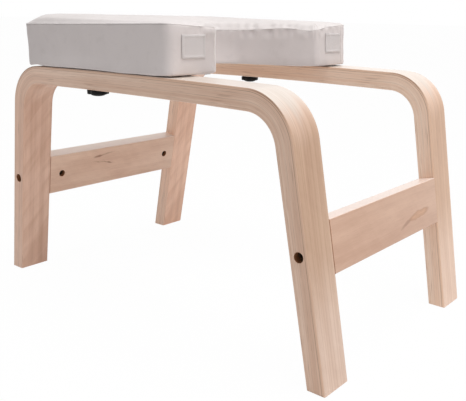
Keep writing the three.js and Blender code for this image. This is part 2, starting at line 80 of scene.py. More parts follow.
bend = bend_centre()
leg_length = (bend - foot_centre).dot(leg_up)
bend_end = math.atan2(bend.y - arch_centre.y, bend.x - arch_centre.x)
bend_length = (bend_end - leg_splay) * bend_radius
half_length = leg_length + bend_length + (math.pi / 2 - bend_end) * hand_rail_arch


def strip_point(distance):
    """The point (x, z) on the strip's centre line, so far along it from the open end's foot."""
    side = 1 if distance <= half_length else -1
    distance = min(distance, 2 * half_length - distance)
    if distance < leg_length:
        point = foot_centre + leg_up * distance
    elif distance < leg_length + bend_length:
        angle = leg_splay + (distance - leg_length) / bend_radius
        point = bend + bend_radius * Vector((math.cos(angle), math.sin(angle)))
    else:
        angle = bend_end + (distance - leg_length - bend_length) / hand_rail_arch
        point = arch_centre + hand_rail_arch * Vector((math.cos(angle), math.sin(angle)))
    return Vector((side * point.x, point.y))


def strip_place(x, z):
    """How far a point lies along the strip, and how far out from its centre line."""
    point = Vector((abs(x), z))
    from_bend = point - bend
    turn = math.atan2(from_bend.y, from_bend.x)
    if from_bend.dot(leg_up) < 0:
        distance, outwards = (point - foot_centre).dot(leg_up), (point - foot_centre).dot(leg_out)
    elif turn < bend_end:
        distance, outwards = leg_length + (turn - leg_splay) * bend_radius, from_bend.length - bend_radius
    else:
        from_arch = point - arch_centre
        turn = math.atan2(from_arch.y, from_arch.x)
        distance = leg_length + bend_length + (turn - bend_end) * hand_rail_arch
        outwards = from_arch.length - hand_rail_arch
    return (distance if x >= 0 else 2 * half_length - distance), outwards


def new_tree(name, inputs):
    """A Geometry Nodes tree with a mesh socket each way and named number inputs."""
    tree = bpy.data.node_groups.new(name, "GeometryNodeTree")
    tree.interface.new_socket("Geometry", in_out="INPUT", socket_type="NodeSocketGeometry")
    for label, kind in inputs.items():
        tree.interface.new_socket(label, in_out="INPUT", socket_type=kind)
    tree.interface.new_socket("Geometry", in_out="OUTPUT", socket_type="NodeSocketGeometry")
    return tree


def feed(tree, sockets, inputs):
    """Gives a node's sockets their inputs: each a value, or another node's output to link."""
    for key, value in inputs.items():
        if isinstance(value, bpy.types.NodeSocket):
            tree.links.new(value, sockets[key])
        else:
            sockets[key].default_value = value


def add_node(tree, kind, inputs=None, **settings):
    """A node with its settings and inputs."""
    made = tree.nodes.new(kind)
    for key, value in settings.items():
        setattr(made, key, value)
    feed(tree, made.inputs, inputs or {})
    return made


def grown(carrier, tree, values):
    """Runs a Geometry Nodes tree on a carrier mesh and gives back the result as a plain mesh."""
    modifier = carrier.modifiers.new(tree.name, "NODES")
    modifier.node_group = tree
    sockets = {s.name: s.identifier for s in tree.interface.items_tree if s.in_out == "INPUT"}
    for label, value in values.items():
        modifier[sockets[label]] = value
    return settled(carrier)


def finish_tree(tree, shape, material):
    """Ends a Geometry Nodes tree: real geometry with its material."""
    real = add_node(tree, "GeometryNodeRealizeInstances", {"Geometry": shape})
    finished = add_node(tree, "GeometryNodeSetMaterial", {
        "Geometry": real.outputs["Geometry"], "Material": material})
    add_node(tree, "NodeGroupOutput", {"Geometry": finished.outputs["Geometry"]})


def settled(piece):
    """Turns a piece with its modifiers into a plain mesh."""
    shape = bpy.data.meshes.new_from_object(piece.evaluated_get(bpy.context.evaluated_depsgraph_get()))
    piece.modifiers.clear()
    piece.data = shape
    return piece


def new_piece(name, shape):
    """A new object at the origin that holds a shape: a bmesh, which is then freed, or other data."""
    data = shape
    if isinstance(shape, bmesh.types.BMesh):
        data = bpy.data.meshes.new(name)
        shape.to_mesh(data)
        shape.free()
    piece = bpy.data.objects.new(name, data)
    bpy.context.scene.collection.objects.link(piece)
    return piece


def line_mesh(points, closed=False):
    """A row of points joined by edges, for a tree to follow."""
    shape = bmesh.new()
    row = [shape.verts.new(point) for point in points]
    for first, second in zip(row, row[1:]):
        shape.edges.new((first, second))
    if closed:
        shape.edges.new((row[-1], row[0]))
    return shape


def lofted(rings, loop=False):
    """A bmesh skin over rings of points. One point closes an end; loop joins the last to the first."""
    shape = bmesh.new()
    made = [[shape.verts.new(point) for point in ring] for ring in rings]
    pairs = list(zip(made, made[1:])) + ([(made[-1], made[0])] if loop else [])
    for lower, upper in pairs:
        count = max(len(lower), len(upper))
        for i in range(count):
            corners = [lower[i % len(lower)], lower[(i + 1) % len(lower)]]
            corners += [upper[(i + 1) % len(upper)], upper[i % len(upper)]]
            shape.faces.new(list(dict.fromkeys(corners)))
    if not loop:
        for ring in (made[0], made[-1]):
            if len(ring) > 2:
                shape.faces.new(ring)
    bmesh.ops.recalc_face_normals(shape, faces=shape.faces[:])
    return shape


def turned(profile, place, steps=48, loop=False, radius_at=None):
    """A round body: (radius, height) points turned about Z, then put in place by a matrix. radius_at
    gives a point's radius at a share of the turn, where the body isn't evenly round."""
    rings = []
    for point in profile:
        ring = []
        for i in range(steps if point[0] else 1):
            radius = radius_at(point, i / steps) if radius_at and point[0] else point[0]
            angle = 2 * math.pi * i / steps
            ring.append(place @ Vector((radius * math.cos(angle), radius * math.sin(angle), point[1])))
        rings.append(ring)
    return lofted(rings, loop)


def rod(radius, low, high):
    """The profile of a plain round rod or hole."""
    return [(0, low), (radius, low), (radius, high), (0, high)]


def along_y(place, outward):
    """The matrix that lays a turned body's height along Y, outward from a place."""
    return Matrix.Translation(place) @ Matrix.Rotation(-outward * math.pi / 2, 4, "X")


def bored(piece, cutters):
    """Cuts closed bodies out of a piece."""
    tools = [new_piece("cutter", cutter) for cutter in cutters]
    for tool in tools:
        cut = piece.modifiers.new("bore", "BOOLEAN")
        cut.operation = "DIFFERENCE"
        cut.solver = "EXACT"
        cut.object = tool
    settled(piece)
    for tool in tools:
        bpy.data.objects.remove(tool)
    return piece


def eased(piece, crease=32):
    """Smooth shading that keeps the flat faces flat beside their eased edges."""
    piece.data.shade_smooth()
    piece.data.set_sharp_from_angle(angle=math.radians(crease))
    weighted = piece.modifiers.new("even shading", "WEIGHTED_NORMAL")
    weighted.keep_sharp = True
    return settled(piece)


def swept_strip_tree():
    """A strip with eased long edges along a line of edges, its width level."""
    tree = new_tree("bent strip", {
        "Width": "NodeSocketFloat", "Thickness": "NodeSocketFloat", "Eased edge": "NodeSocketFloat",
        "Edge steps": "NodeSocketInt", "Finish": "NodeSocketMaterial"})
    given = tree.nodes.new("NodeGroupInput").outputs
    line = add_node(tree, "GeometryNodeMeshToCurve", {"Mesh": given["Geometry"]})
    upright = add_node(tree, "GeometryNodeSetCurveNormal", {"Curve": line.outputs["Curve"]}, mode="Z_UP")
    section = add_node(tree, "GeometryNodeCurvePrimitiveQuadrilateral", {
        "Width": given["Width"], "Height": given["Thickness"]})
    rounded = add_node(tree, "GeometryNodeFilletCurve", {
        "Curve": section.outputs["Curve"], "Radius": given["Eased edge"], "Count": given["Edge steps"]},
        mode="POLY")
    strip = add_node(tree, "GeometryNodeCurveToMesh", {
        "Curve": upright.outputs["Curve"], "Profile Curve": rounded.outputs["Curve"], "Fill Caps": True})
    whole = add_node(tree, "GeometryNodeMergeByDistance", {"Geometry": strip.outputs["Mesh"]})
    finish_tree(tree, whole.outputs["Geometry"], given["Finish"])
    return tree


strip_tree = swept_strip_tree()
leg_steps = 6
bend_steps = 40
rail_steps = 14
bolt_up_leg = 0.160
counterbore_radius = 0.0062
counterbore_depth = 0.014
counterbore_ease = 0.0006
bolt_hole_radius = 0.0033
dowel_hole_radius = 0.0043
dowel_up = 0.020
dowel_half_length = 0.020
pin_gap = 0.0003
cut_overrun = 0.002
clamp_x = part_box("near_clamp_knob")[0].x / 2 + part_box("near_clamp_knob")[1].x / 2
stud_hole_radius = 0.0043
wall_slack = 0.0001


def joint_place(end, up=0.0):
    """A point on the centre line of a leg, up its slope from the joint. end is -1 or 1."""
    point = foot_centre + leg_up * (bolt_up_leg + up)
    return Vector((end * point.x, 0, point.y))


def straight_stations():
    """Distances along the strip for its rings: sparse on the legs and the rail, close in the bends."""
    leg = [-foot_overrun] + [leg_length * i / leg_steps for i in range(1, leg_steps)]
    turn = [leg_length + bend_length * i / bend_steps for i in range(bend_steps + 1)]
    rail_start = leg_length + bend_length
    rail_step = (half_length - rail_start) / rail_steps
    rail = [rail_start + rail_step * i for i in range(1, rail_steps)]
    half = leg + turn + rail
    return half + [half_length] + [2 * half_length - distance for distance in reversed(half)]


def finish_holes(piece, number, radius, axes):
    """Gives a material number to the faces of a hole's wall, close round one of the (place, way) axes."""
    for place, way in axes:
        offs = [vertex.co - place for vertex in piece.data.vertices]
        within = [(off - way * off.dot(way)).length < radius + wall_slack for off in offs]
        for face in piece.data.polygons:
            if all(within[i] for i in face.vertices):
                face.material_index = number


def bent_frame(name, outward, face_finish, edge_finish):
    """A bent strip, cut level at the feet and bored, with its grain attribute: how far along the
    strip, how far across it and how far out from its centre line each point lies."""
    points = [strip_point(distance) for distance in straight_stations()]
    centre_line = line_mesh([(point.x, outward * strip_y, point.y) for point in points])
    piece = grown(new_piece(name, centre_line), strip_tree, {
        "Width": strip_width, "Thickness": strip_thickness, "Eased edge": eased_edge, "Edge steps": 4,
        "Finish": face_finish})

    shape = bmesh.new()
    shape.from_mesh(piece.data)
    everything = shape.verts[:] + shape.edges[:] + shape.faces[:]
    cut = bmesh.ops.bisect_plane(
        shape, geom=everything, plane_co=(0, 0, 0), plane_no=(0, 0, 1), clear_inner=True)
    rim = [part for part in cut["geom_cut"] if isinstance(part, bmesh.types.BMEdge)]
    bmesh.ops.edgeloop_fill(shape, edges=rim)
    bmesh.ops.recalc_face_normals(shape, faces=shape.faces[:])
    shape.to_mesh(piece.data)
    shape.free()

    cutters = []
    for end in (-1, 1):
        place = joint_place(end) + Vector((0, outward * stool_half_width, 0))
        steps = [(0, -strip_width - cut_overrun), (bolt_hole_radius, -strip_width - cut_overrun)]
        steps += [(bolt_hole_radius, -counterbore_depth), (counterbore_radius, -counterbore_depth)]
        steps += [(counterbore_radius, -counterbore_ease)]
        steps += [(counterbore_radius + counterbore_ease + cut_overrun, cut_overrun), (0, cut_overrun)]
        cutters.append(turned(steps, along_y(place, outward)))
        for up in (-dowel_up, dowel_up):
            place = joint_place(end, up) + Vector((0, outward * (stool_half_width - strip_width), 0))
            pin = rod(dowel_hole_radius, -cut_overrun, dowel_half_length + pin_gap)
            cutters.append(turned(pin, along_y(place, outward), steps=32))
    stud = rod(stud_hole_radius, hand_rail_top - 2 * strip_thickness, hand_rail_top + cut_overrun)
    cutters.append(turned(stud, Matrix.Translation((clamp_x, outward * strip_y, 0)), steps=32))
    eased(bored(piece, cutters))

    grain = piece.data.attributes.new("grain", "FLOAT_VECTOR", "POINT")
    for spot, vertex in zip(grain.data, piece.data.vertices):
        distance, outwards = strip_place(vertex.co.x, vertex.co.z)
        spot.vector = (distance, vertex.co.y - outward * strip_y, outwards)
    piece.data.materials.append(edge_finish)
    piece.data.materials.append(bore_painted_shade)
    for face in piece.data.polygons:
        face.material_index = 1 if abs(face.normal.y) > 0.5 else 0
    # The counterbores' walls take the painted shade of the hole.
    finish_holes(piece, 2, counterbore_radius, [(joint_place(end), Vector((0, 1, 0))) for end in (-1, 1)])
    return piece


def new_material(name):
    """A material, its node tree and its shader."""
    material = bpy.data.materials.new(name)
    material.use_nodes = True
    return material, material.node_tree, material.node_tree.nodes["Principled BSDF"]


def object_place(tree):
    """The place on a piece, in metres, as its shader sees it."""
    return add_node(tree, "ShaderNodeTexCoord").outputs["Object"]


def shade(red, green, blue):
    """A colour as it is seen, 0 to 255, as the linear values that a shader takes."""
    linear = [c / 255 / 12.92 if c <= 10 else ((c / 255 + 0.055) / 1.055) ** 2.4
              for c in (red, green, blue)]
    return (*linear, 1)


def maths(tree, operation, first, second=0.0, third=0.0):
    """One step of arithmetic in a tree."""
    made = add_node(tree, "ShaderNodeMath", {0: first, 1: second, 2: third}, operation=operation)
    return made.outputs[0]


def blended(tree, share, first, second, mode="MIX"):
    """One colour laid over another by a share."""
    made = add_node(tree, "ShaderNodeMix", {"Factor": share}, data_type="RGBA", blend_type=mode)
    feed(tree, made.inputs, {6: first, 7: second})
    return made.outputs[2]


def spread(tree, value, low, high, to_low=0.0, to_high=1.0):
    """Stretches a part of a value's range, smoothly, to new ends."""
    made = add_node(tree, "ShaderNodeMapRange", {
        "Value": value, "From Min": low, "From Max": high, "To Min": to_low, "To Max": to_high},
        interpolation_type="SMOOTHSTEP")
    return made.outputs["Result"]


def mottle(tree, place, stretch, detail=3.0, distortion=0.0):
    """Soft noise, 0 to 1, that repeats so many times a metre each way."""
    scaled = add_node(tree, "ShaderNodeVectorMath", {0: place, 1: stretch}, operation="MULTIPLY")
    made = add_node(tree, "ShaderNodeTexNoise", {
        "Vector": scaled.outputs[0], "Scale": 1.0, "Detail": detail, "Distortion": distortion})
    return made.outputs["Fac"]


def bore_painted_shade_material():
    """The walls of a drilled hole, painted dark brown: painted shade inside the hole."""
    material, tree, shader = new_material("bore_birch_painted_shade")
    tone = mottle(tree, object_place(tree), (500.0, 500.0, 500.0), 2.0)
    colour = blended(tree, tone, shade(176, 122, 82), shade(118, 74, 44))
    feed(tree, shader.inputs, {"Base Color": colour, "Roughness": 0.85})
    return material


birch_pore = shade(170, 124, 98)
veneer_count = 7
glue_brown = shade(132, 92, 66)
upper_leg_painted_shade = (0.8, 0.71, 0.6, 1)
streak_stain = (0.74, 0.62, 0.52, 1)
ripple_stain = (0.8, 0.7, 0.62, 1)
dark_glue_line = 6


def birch_material(name, pale, deep, figure, straight=0.5):
    """Lacquered birch that follows the grain attribute. figure is how strong its ripples are, and
    straight how far its tone goes by straight streaks, not by soft clouds."""
    material, tree, shader = new_material(name)
    grain = add_node(tree, "ShaderNodeAttribute", attribute_name="grain").outputs["Vector"]
    streaks = mottle(tree, grain, (2.2, 130.0, 190.0), 4.0, 0.25)
    clouds = mottle(tree, grain, (7.0, 22.0, 40.0), 2.0)
    fibres = mottle(tree, grain, (45.0, 1300.0, 1300.0), 2.0)
    turned_grain = add_node(tree, "ShaderNodeMapping", {
        "Vector": grain, "Rotation": (0, 0, math.radians(52))})
    ripples = mottle(tree, turned_grain.outputs["Vector"], (14.0, 85.0, 40.0), 2.0, 0.5)
    tone = maths(tree, "MULTIPLY", streaks, straight)
    tone = maths(tree, "MULTIPLY_ADD", clouds, 0.8 - straight, tone)
    tone = maths(tree, "MULTIPLY_ADD", fibres, 0.2, tone)
    tone = maths(tree, "MULTIPLY_ADD", maths(tree, "SUBTRACT", ripples, 0.5), figure, tone)
    colour = blended(tree, spread(tree, tone, 0.3, 0.72), pale, deep)
    pores = spread(tree, mottle(tree, grain, (70.0, 2400.0, 2400.0), 1.0), 0.62, 0.78, 0.0, 0.35)
    colour = blended(tree, pores, colour, birch_pore)
    return material, tree, shader, grain, colour, fibres


def surfaced(tree, shader, colour, height, roughness=0.42, depth=0.00012, coat=0.0, shine=0.45,
             relief=0.6):
    """Joins a colour and a fine relief to a finish. coat is how much clear lacquer lies over it."""
    bump = add_node(tree, "ShaderNodeBump", {"Height": height, "Distance": depth, "Strength": relief})
    feed(tree, shader.inputs, {
        "Base Color": colour, "Roughness": roughness, "Specular IOR Level": shine,
        "Coat Weight": coat, "Coat Roughness": 0.3, "Normal": bump.outputs["Normal"]})


def redder(tree, colour, along, tint):
    """Warms the strip's tone towards the closed end's foot: painted warm fill light, brightest on the far
    frame, where the cushion shades that leg.
    """
    share = spread(tree, along, 1.1 * half_length, 1.6 * half_length)
    return blended(tree, share, colour, (*tint, 1), "MULTIPLY")


def veneer_face_material(name, pale, deep, tint):
    """The strip's wide sides: painted light on the outside, blond on the hand rail as a painted highlight and
    tan on the upper legs as painted shade, with soft ripples inside.
    """
    material, tree, shader, grain, colour, fibres = birch_material(name, pale, deep, 0.1)
    axes = add_node(tree, "ShaderNodeSeparateXYZ", {"Vector": grain}).outputs
    colour = redder(tree, colour, axes["X"], tint)
    from_end = maths(tree, "PINGPONG", axes["X"], half_length)
    outside = spread(tree, axes["Z"], -0.002, 0.002)
    wander = maths(tree, "MULTIPLY", mottle(tree, grain, (5.0, 60.0, 5.0), 2.0), 0.05)
    place = maths(tree, "ADD", from_end, wander)
    # The outer face is painted paler and greyer on the hand rail: a painted highlight of the light on top.
    top_painted_light = spread(tree, place, leg_length + 0.6 * bend_length, leg_length + 1.05 * bend_length, 0.0, 0.6)
    colour = blended(tree, maths(tree, "MULTIPLY", top_painted_light, outside), colour, shade(228, 226, 220))
    # The outer face is painted darker tan on the upper legs: painted shade under the bends.
    rising = spread(tree, place, 0.08, 0.2)
    falling = spread(tree, place, leg_length + 0.3 * bend_length, leg_length + 0.85 * bend_length, 1.0, 0.0)
    tan = maths(tree, "MULTIPLY", rising, falling)
    colour = blended(tree, maths(tree, "MULTIPLY", tan, outside), colour, upper_leg_painted_shade, "MULTIPLY")
    lines = spread(tree, mottle(tree, grain, (3.0, 420.0, 60.0), 3.0), 0.5, 0.68, 0.0, 0.4)
    lines = maths(tree, "MULTIPLY", lines, outside)
    colour = blended(tree, lines, colour, streak_stain, "MULTIPLY")
    ripple_place = add_node(tree, "ShaderNodeMapping", {
        "Vector": grain, "Rotation": (0, 0, math.radians(38))})
    ripples = mottle(tree, ripple_place.outputs["Vector"], (7.0, 60.0, 0.0), 2.0, 0.4)
    inside = maths(tree, "SUBTRACT", 1.0, outside)
    ripples = maths(tree, "MULTIPLY", spread(tree, ripples, 0.4, 0.62, 0.0, 0.5), inside)
    colour = blended(tree, ripples, colour, ripple_stain, "MULTIPLY")
    surfaced(tree, shader, colour, fibres, coat=0.7)
    return material


def veneer_edge_material(name, pale, deep, tint):
    """The strip's narrow side: seven veneers with their glue lines, a few of them dark."""
    material, tree, shader, grain, colour, fibres = birch_material(name, pale, deep, 0.0)
    axes = add_node(tree, "ShaderNodeSeparateXYZ", {"Vector": grain}).outputs
    colour = redder(tree, colour, axes["X"], tint)
    from_end = maths(tree, "PINGPONG", axes["X"], half_length)
    waver = maths(tree, "SUBTRACT", mottle(tree, grain, (6.0, 0.0, 0.0), 2.0), 0.5)
    out = maths(tree, "MULTIPLY_ADD", waver, 0.0004, axes["Z"])
    ply = maths(tree, "MULTIPLY_ADD", out, veneer_count / strip_thickness, veneer_count / 2)
    layer = maths(tree, "FLOOR", ply)
    own_tone = add_node(tree, "ShaderNodeTexWhiteNoise", {"W": layer}, noise_dimensions="1D").outputs["Value"]
    colour = blended(tree, maths(tree, "MULTIPLY", own_tone, 0.3), colour, deep)
    line = maths(tree, "ROUND", ply)
    off_line = maths(tree, "ABSOLUTE", maths(tree, "SUBTRACT", ply, line))
    glue = spread(tree, off_line, 0.02, 0.14, 1.0, 0.0)
    off_dark = maths(tree, "ABSOLUTE", maths(tree, "SUBTRACT", line, dark_glue_line))
    strong = spread(tree, off_dark, 0.1, 0.9, 0.85, 0.0)
    off_fourth = maths(tree, "ABSOLUTE", maths(tree, "SUBTRACT", line, 4))
    third_and_fifth = maths(tree, "ABSOLUTE", maths(tree, "SUBTRACT", off_fourth, 1))
    middling = spread(tree, third_and_fifth, 0.1, 0.9, 0.3, 0.08)
    patchy = spread(tree, mottle(tree, grain, (14.0, 0.0, 260.0), 2.0), 0.3, 0.7, 0.55, 1.0)
    glue = maths(tree, "MULTIPLY", glue, maths(tree, "MAXIMUM", strong, middling))
    glue = maths(tree, "MULTIPLY", glue, patchy)
    colour = blended(tree, glue, colour, glue_brown)
    dashes = spread(tree, mottle(tree, grain, (22.0, 0.0, 900.0), 1.0), 0.6, 0.72, 0.0, 0.45)
    colour = blended(tree, dashes, colour, shade(150, 108, 80))
    outer_ply = spread(tree, ply, veneer_count - 1, veneer_count - 0.9, 0.0, 0.45)
    colour = blended(tree, outer_ply, colour, shade(226, 186, 156))
    # Darker along the outer edge of the narrow side, most in the bends and faintly on the hand rail.
    skin = spread(tree, out, half_strip - 0.0026, half_strip - 0.0014, 0.0, 0.75)
    arched = spread(tree, from_end, leg_length + 0.1 * bend_length, leg_length + 0.6 * bend_length)
    flat = spread(tree, from_end, leg_length + 0.8 * bend_length, leg_length + 1.1 * bend_length, 1.0, 0.35)
    arched = maths(tree, "MULTIPLY", arched, flat)
    colour = blended(tree, maths(tree, "MULTIPLY", skin, arched), colour, shade(140, 100, 74))
    surfaced(tree, shader, colour, fibres, 0.5, coat=0.5)
    return material


bore_painted_shade = bore_painted_shade_material()
# Painted warm fill light on the closed end's legs, stronger on the far frame.
closed_end_tints_and_fill_light = {"near": (1.08, 0.99, 0.96), "far": (1.13, 1.04, 1.01)}
# The far frame's finishes are paler copies of the near ones: painted bounce light on its faces and edges
# beneath the cushion.
veneer_faces = {
    "near": veneer_face_material("birch_veneer_face", shade(233, 204, 184), shade(206, 170, 146),
                                 closed_end_tints_and_fill_light["near"]),
    "far": veneer_face_material("far_birch_veneer_face_painted_light", shade(246, 212, 188), shade(222, 184, 158),
                                closed_end_tints_and_fill_light["far"])}
veneer_edges = {
    "near": veneer_edge_material("birch_veneer_edges", shade(243, 214, 193), shade(214, 174, 148),
                                 closed_end_tints_and_fill_light["near"]),
    "far": veneer_edge_material("far_birch_veneer_edges_painted_light", shade(253, 229, 210), shade(236, 200, 174),
                                closed_end_tints_and_fill_light["far"])}

for side_name, outward in (("near", -1), ("far", 1)):
    piece = bent_frame(side_name + "_bent_strip", outward, veneer_faces[side_name], veneer_edges[side_name])
    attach(piece, "stool")
    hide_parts(side_name + "_bent_frame")

# The cross rails. Each is a solid birch board between the legs, with eased long edges, its grain
# along it. It butts flush against the legs on two dowels a side, and a bolt through the leg pulls
# on a barrel nut in a round hole near the board's end, open on the face under the stool.
rail_height = 0.064
rail_half_length = stool_half_width - strip_width - pin_gap
nut_setback = 0.0225
nut_reach = rail_half_length + pin_gap - nut_setback
nut_hole_radius = 0.0053
nut_hole_depth = 0.020
nut_hole_ease = 0.0004
bolt_hole_reach = 0.030
grain_apart = 0.3


def rounded_section(half_thick, half_high, radius, steps=5):
    """A rectangle's outline (x, z) with round corners."""
    outline = []
    for quarter, (sx, sz) in enumerate(((1, 1), (-1, 1), (-1, -1), (1, -1))):
        for i in range(steps + 1):
            angle = math.pi / 2 * (quarter + i / steps)
            x = sx * (half_thick - radius) + radius * math.cos(angle)
            outline.append((x, sz * (half_high - radius) + radius * math.sin(angle)))
    return outline


def rail_lean(end):
    """The matrix that leans a rail's parts to the legs' splay and sets them at the joints."""
    return Matrix.Translation(joint_place(end)) @ Matrix.Rotation(-end * leg_splay, 4, "Y")


def cross_rail(name, end):
    """A rail board, made flat and then leant to the legs' splay, with its grain attribute."""
    outline = rounded_section(half_strip, rail_height / 2, eased_edge)
    rings = [[Vector((x, y, z)) for x, z in outline] for y in (-rail_half_length, rail_half_length)]
    piece = new_piece(name, lofted(rings))
    cutters = []
    for outward in (-1, 1):
        mouth = Vector((-end * half_strip, outward * nut_reach, 0))
        into = Matrix.Translation(mouth) @ Matrix.Rotation(end * math.pi / 2, 4, "Y")
        hole = [(0, -cut_overrun), (nut_hole_radius + nut_hole_ease + cut_overrun, -cut_overrun)]
        hole += [(nut_hole_radius, nut_hole_ease), (nut_hole_radius, nut_hole_depth), (0, nut_hole_depth)]
        cutters.append(turned(hole, into, steps=40))
        for up, radius, deep in ((0, bolt_hole_radius, bolt_hole_reach),
                                 (dowel_up, dowel_hole_radius, dowel_half_length + pin_gap),
                                 (-dowel_up, dowel_hole_radius, dowel_half_length + pin_gap)):
            into = along_y(Vector((0, outward * rail_half_length, up)), -outward)
            cutters.append(turned(rod(radius, -cut_overrun, deep), into, steps=32))
    eased(bored(piece, cutters))
    piece.data.materials.append(rail_woods[name])
    piece.data.materials.append(bore_painted_shade)
    # The nut holes' walls take the painted shade of the hole.
    finish_holes(piece, 1, nut_hole_radius, [
        (Vector((0, y, 0)), Vector((1, 0, 0))) for y in (nut_reach, -nut_reach)])
    grain = piece.data.attributes.new("grain", "FLOAT_VECTOR", "POINT")
    for spot, vertex in zip(grain.data, piece.data.vertices):
        along = vertex.co.y + (open_grain_start if end > 0 else closed_grain_start)
        spot.vector = (along, vertex.co.z, vertex.co.x + end * grain_apart)
    piece.data.transform(rail_lean(end))
    return piece


def spot_on_board(tree, grain, centre, half_size, slope, fade=0.5):
    """1 inside a slanting ellipse on a board's face, 0 beyond it. Places are grain along and across."""
    own = add_node(tree, "ShaderNodeMapping", {
        "Vector": grain, "Location": (*centre, 0), "Rotation": (0, 0, math.radians(slope)),
        "Scale": (*half_size, 10.0)}, vector_type="TEXTURE").outputs["Vector"]
    reach = add_node(tree, "ShaderNodeVectorMath", {0: own}, operation="LENGTH").outputs["Value"]
    return spread(tree, reach, 1 - fade, 1, 1.0, 0.0)


def rail_wood_material(name, pale, deep, figures, ring=None):
    """Solid birch with a painted highlight along its top edge. figures are dark strokes in the wood, and ring
    is a knot with a darker outline.
    """
    material, tree, shader, grain, colour, fibres = birch_material(name, pale, deep, 0.08, 0.25)
    # The board's top edge is painted paler: a painted highlight of the light on top.
    top_edge_painted_light = spread(tree, add_node(tree, "ShaderNodeSeparateXYZ", {"Vector": grain}).outputs["Y"],
                        rail_height / 2 - 0.0012, rail_height / 2 - 0.0002, 0.0, 0.7)
    colour = blended(tree, top_edge_painted_light, colour, shade(247, 232, 223))
    ragged = maths(tree, "SUBTRACT", mottle(tree, grain, (60.0, 120.0, 0.0), 3.0), 0.5)
    waved = add_node(tree, "ShaderNodeVectorMath", {
        0: ragged, 1: (0.014, 0.0075, 0.0), 2: grain}, operation="MULTIPLY_ADD").outputs["Vector"]
    for centre, half_size, slope, share in figures:
        stroke = spot_on_board(tree, waved, centre, half_size, slope, 0.7)
        colour = blended(tree, maths(tree, "MULTIPLY", stroke, share), colour, shade(148, 96, 66))
    if ring:
        centre, half_size, slope = ring
        knot = spot_on_board(tree, waved, centre, half_size, slope, 0.35)
        heart = spot_on_board(tree, waved, centre, [0.9 * size for size in half_size], slope, 0.7)
        colour = blended(tree, maths(tree, "MULTIPLY", knot, 0.7), colour, shade(172, 114, 76))
        streaked = spread(tree, mottle(tree, grain, (30.0, 500.0, 0.0), 2.0), 0.4, 0.6, 0.45, 0.9)
        colour = blended(tree, maths(tree, "MULTIPLY", heart, streaked), colour, shade(214, 164, 124))
    surfaced(tree, shader, colour, fibres, coat=0.7)
    return material


closed_grain_start = -0.7
open_grain_start = 0.7
rail_woods = {
    "closed_end": rail_wood_material("closed_end_birch_board", shade(240, 206, 182), shade(207, 162, 135), (
        ((closed_grain_start - 0.030, 0.0200), (0.030, 0.0013), 6, 0.45),
        ((closed_grain_start - 0.042, 0.0182), (0.013, 0.0022), 4, 0.75),
        ((closed_grain_start - 0.033, 0.0070), (0.028, 0.0012), -13, 0.35),
        ((closed_grain_start - 0.020, 0.0040), (0.014, 0.0018), -11, 0.65))),
    "open_end": rail_wood_material("open_end_birch_board", shade(220, 180, 153), shade(194, 148, 120), (
        ((open_grain_start + 0.0450, -0.0125), (0.020, 0.0034), 12, 0.6),
        ((open_grain_start + 0.0340, -0.0165), (0.012, 0.0022), 8, 0.35)),
        ((open_grain_start + 0.0800, -0.0085), (0.034, 0.0062), 4))}
for end_name, end in (("closed_end", -1), ("open_end", 1)):
    piece = cross_rail(end_name, end)
    piece.name = end_name + "_rail_board"
    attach(piece, "stool")
    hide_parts(end_name + "_cross_rail")

# The frame's fixings, one set at each of the four joints: a blackened M6 socket bolt sunk in the
# leg, the barrel nut that it pulls on, and two fluted beech dowels that keep the rail from turning.
bolt_radius = 0.003
bolt_head_radius = 0.005
bolt_head_length = 0.006
bolt_head_ease = 0.0005
bolt_seat = stool_half_width - counterbore_depth + pin_gap
bolt_top = bolt_seat + bolt_head_length
bolt_past_nut = 0.002
bolt_point = (0.0006, 0.001)
key_radius = 0.0025 / math.cos(math.pi / 6)
key_depth = 0.003
key_point = 0.001
nut_radius = 0.005
nut_half_length = 0.007
nut_ease = 0.0006
nut_bore_half_length = 0.008
nut_slot = (0.002, 0.014, 0.0012)
bolt_end = nut_reach - nut_radius - bolt_past_nut
dowel_radius = 0.004
dowel_flutes = 12
dowel_flute_depth = 0.0004
dowel_chamfer = 0.001
dowel_end_share = 0.75


def steel_material(name, bright, dull, roughness):
    """Steel with a slightly stained surface finish."""
    material, tree, shader = new_material(name)
    stain = mottle(tree, object_place(tree), (220.0, 220.0, 220.0), 4.0)
    colour = blended(tree, stain, bright, dull)
    rough = spread(tree, stain, 0.3, 0.7, roughness, roughness + 0.18)
    feed(tree, shader.inputs, {"Base Color": colour, "Roughness": rough, "Metallic": 1.0})
    return material


def dowel_material():
    """Plain beech, flecked along its grain."""
    material, tree, shader = new_material("beech_dowel")
    flecks = mottle(tree, object_place(tree), (900.0, 60.0, 900.0), 3.0)
    colour = blended(tree, spread(tree, flecks, 0.35, 0.65), shade(222, 184, 146), shade(188, 144, 106))
    surfaced(tree, shader, colour, flecks, 0.7)
    return material


blackened = steel_material("blackened_steel", shade(92, 70, 54), shade(58, 44, 34), 0.5)
beech = dowel_material()


def frame_bolt(end, outward):
    """A socket bolt with a pointed end, its head sunk in the leg, and the six-sided hole for its key."""
    narrowing, point_length = bolt_point
    shank = [(0, bolt_end), (bolt_radius - narrowing, bolt_end), (bolt_radius, bolt_end + point_length)]
    shank += [(bolt_radius, bolt_seat), (bolt_head_radius, bolt_seat)]
    shank += [(bolt_head_radius, bolt_top - bolt_head_ease)]
    shank += [(bolt_head_radius - bolt_head_ease, bolt_top), (0, bolt_top)]
    place = along_y(joint_place(end), outward)
    piece = new_piece("bolt", turned(shank, place, steps=40))
    deep = bolt_top - key_depth
    key = [(0, deep - key_point), (key_radius, deep), (key_radius, deep + key_depth + cut_overrun)]
    key += [(0, deep + key_depth + cut_overrun)]
    return bored(piece, [turned(key, place, steps=6)])


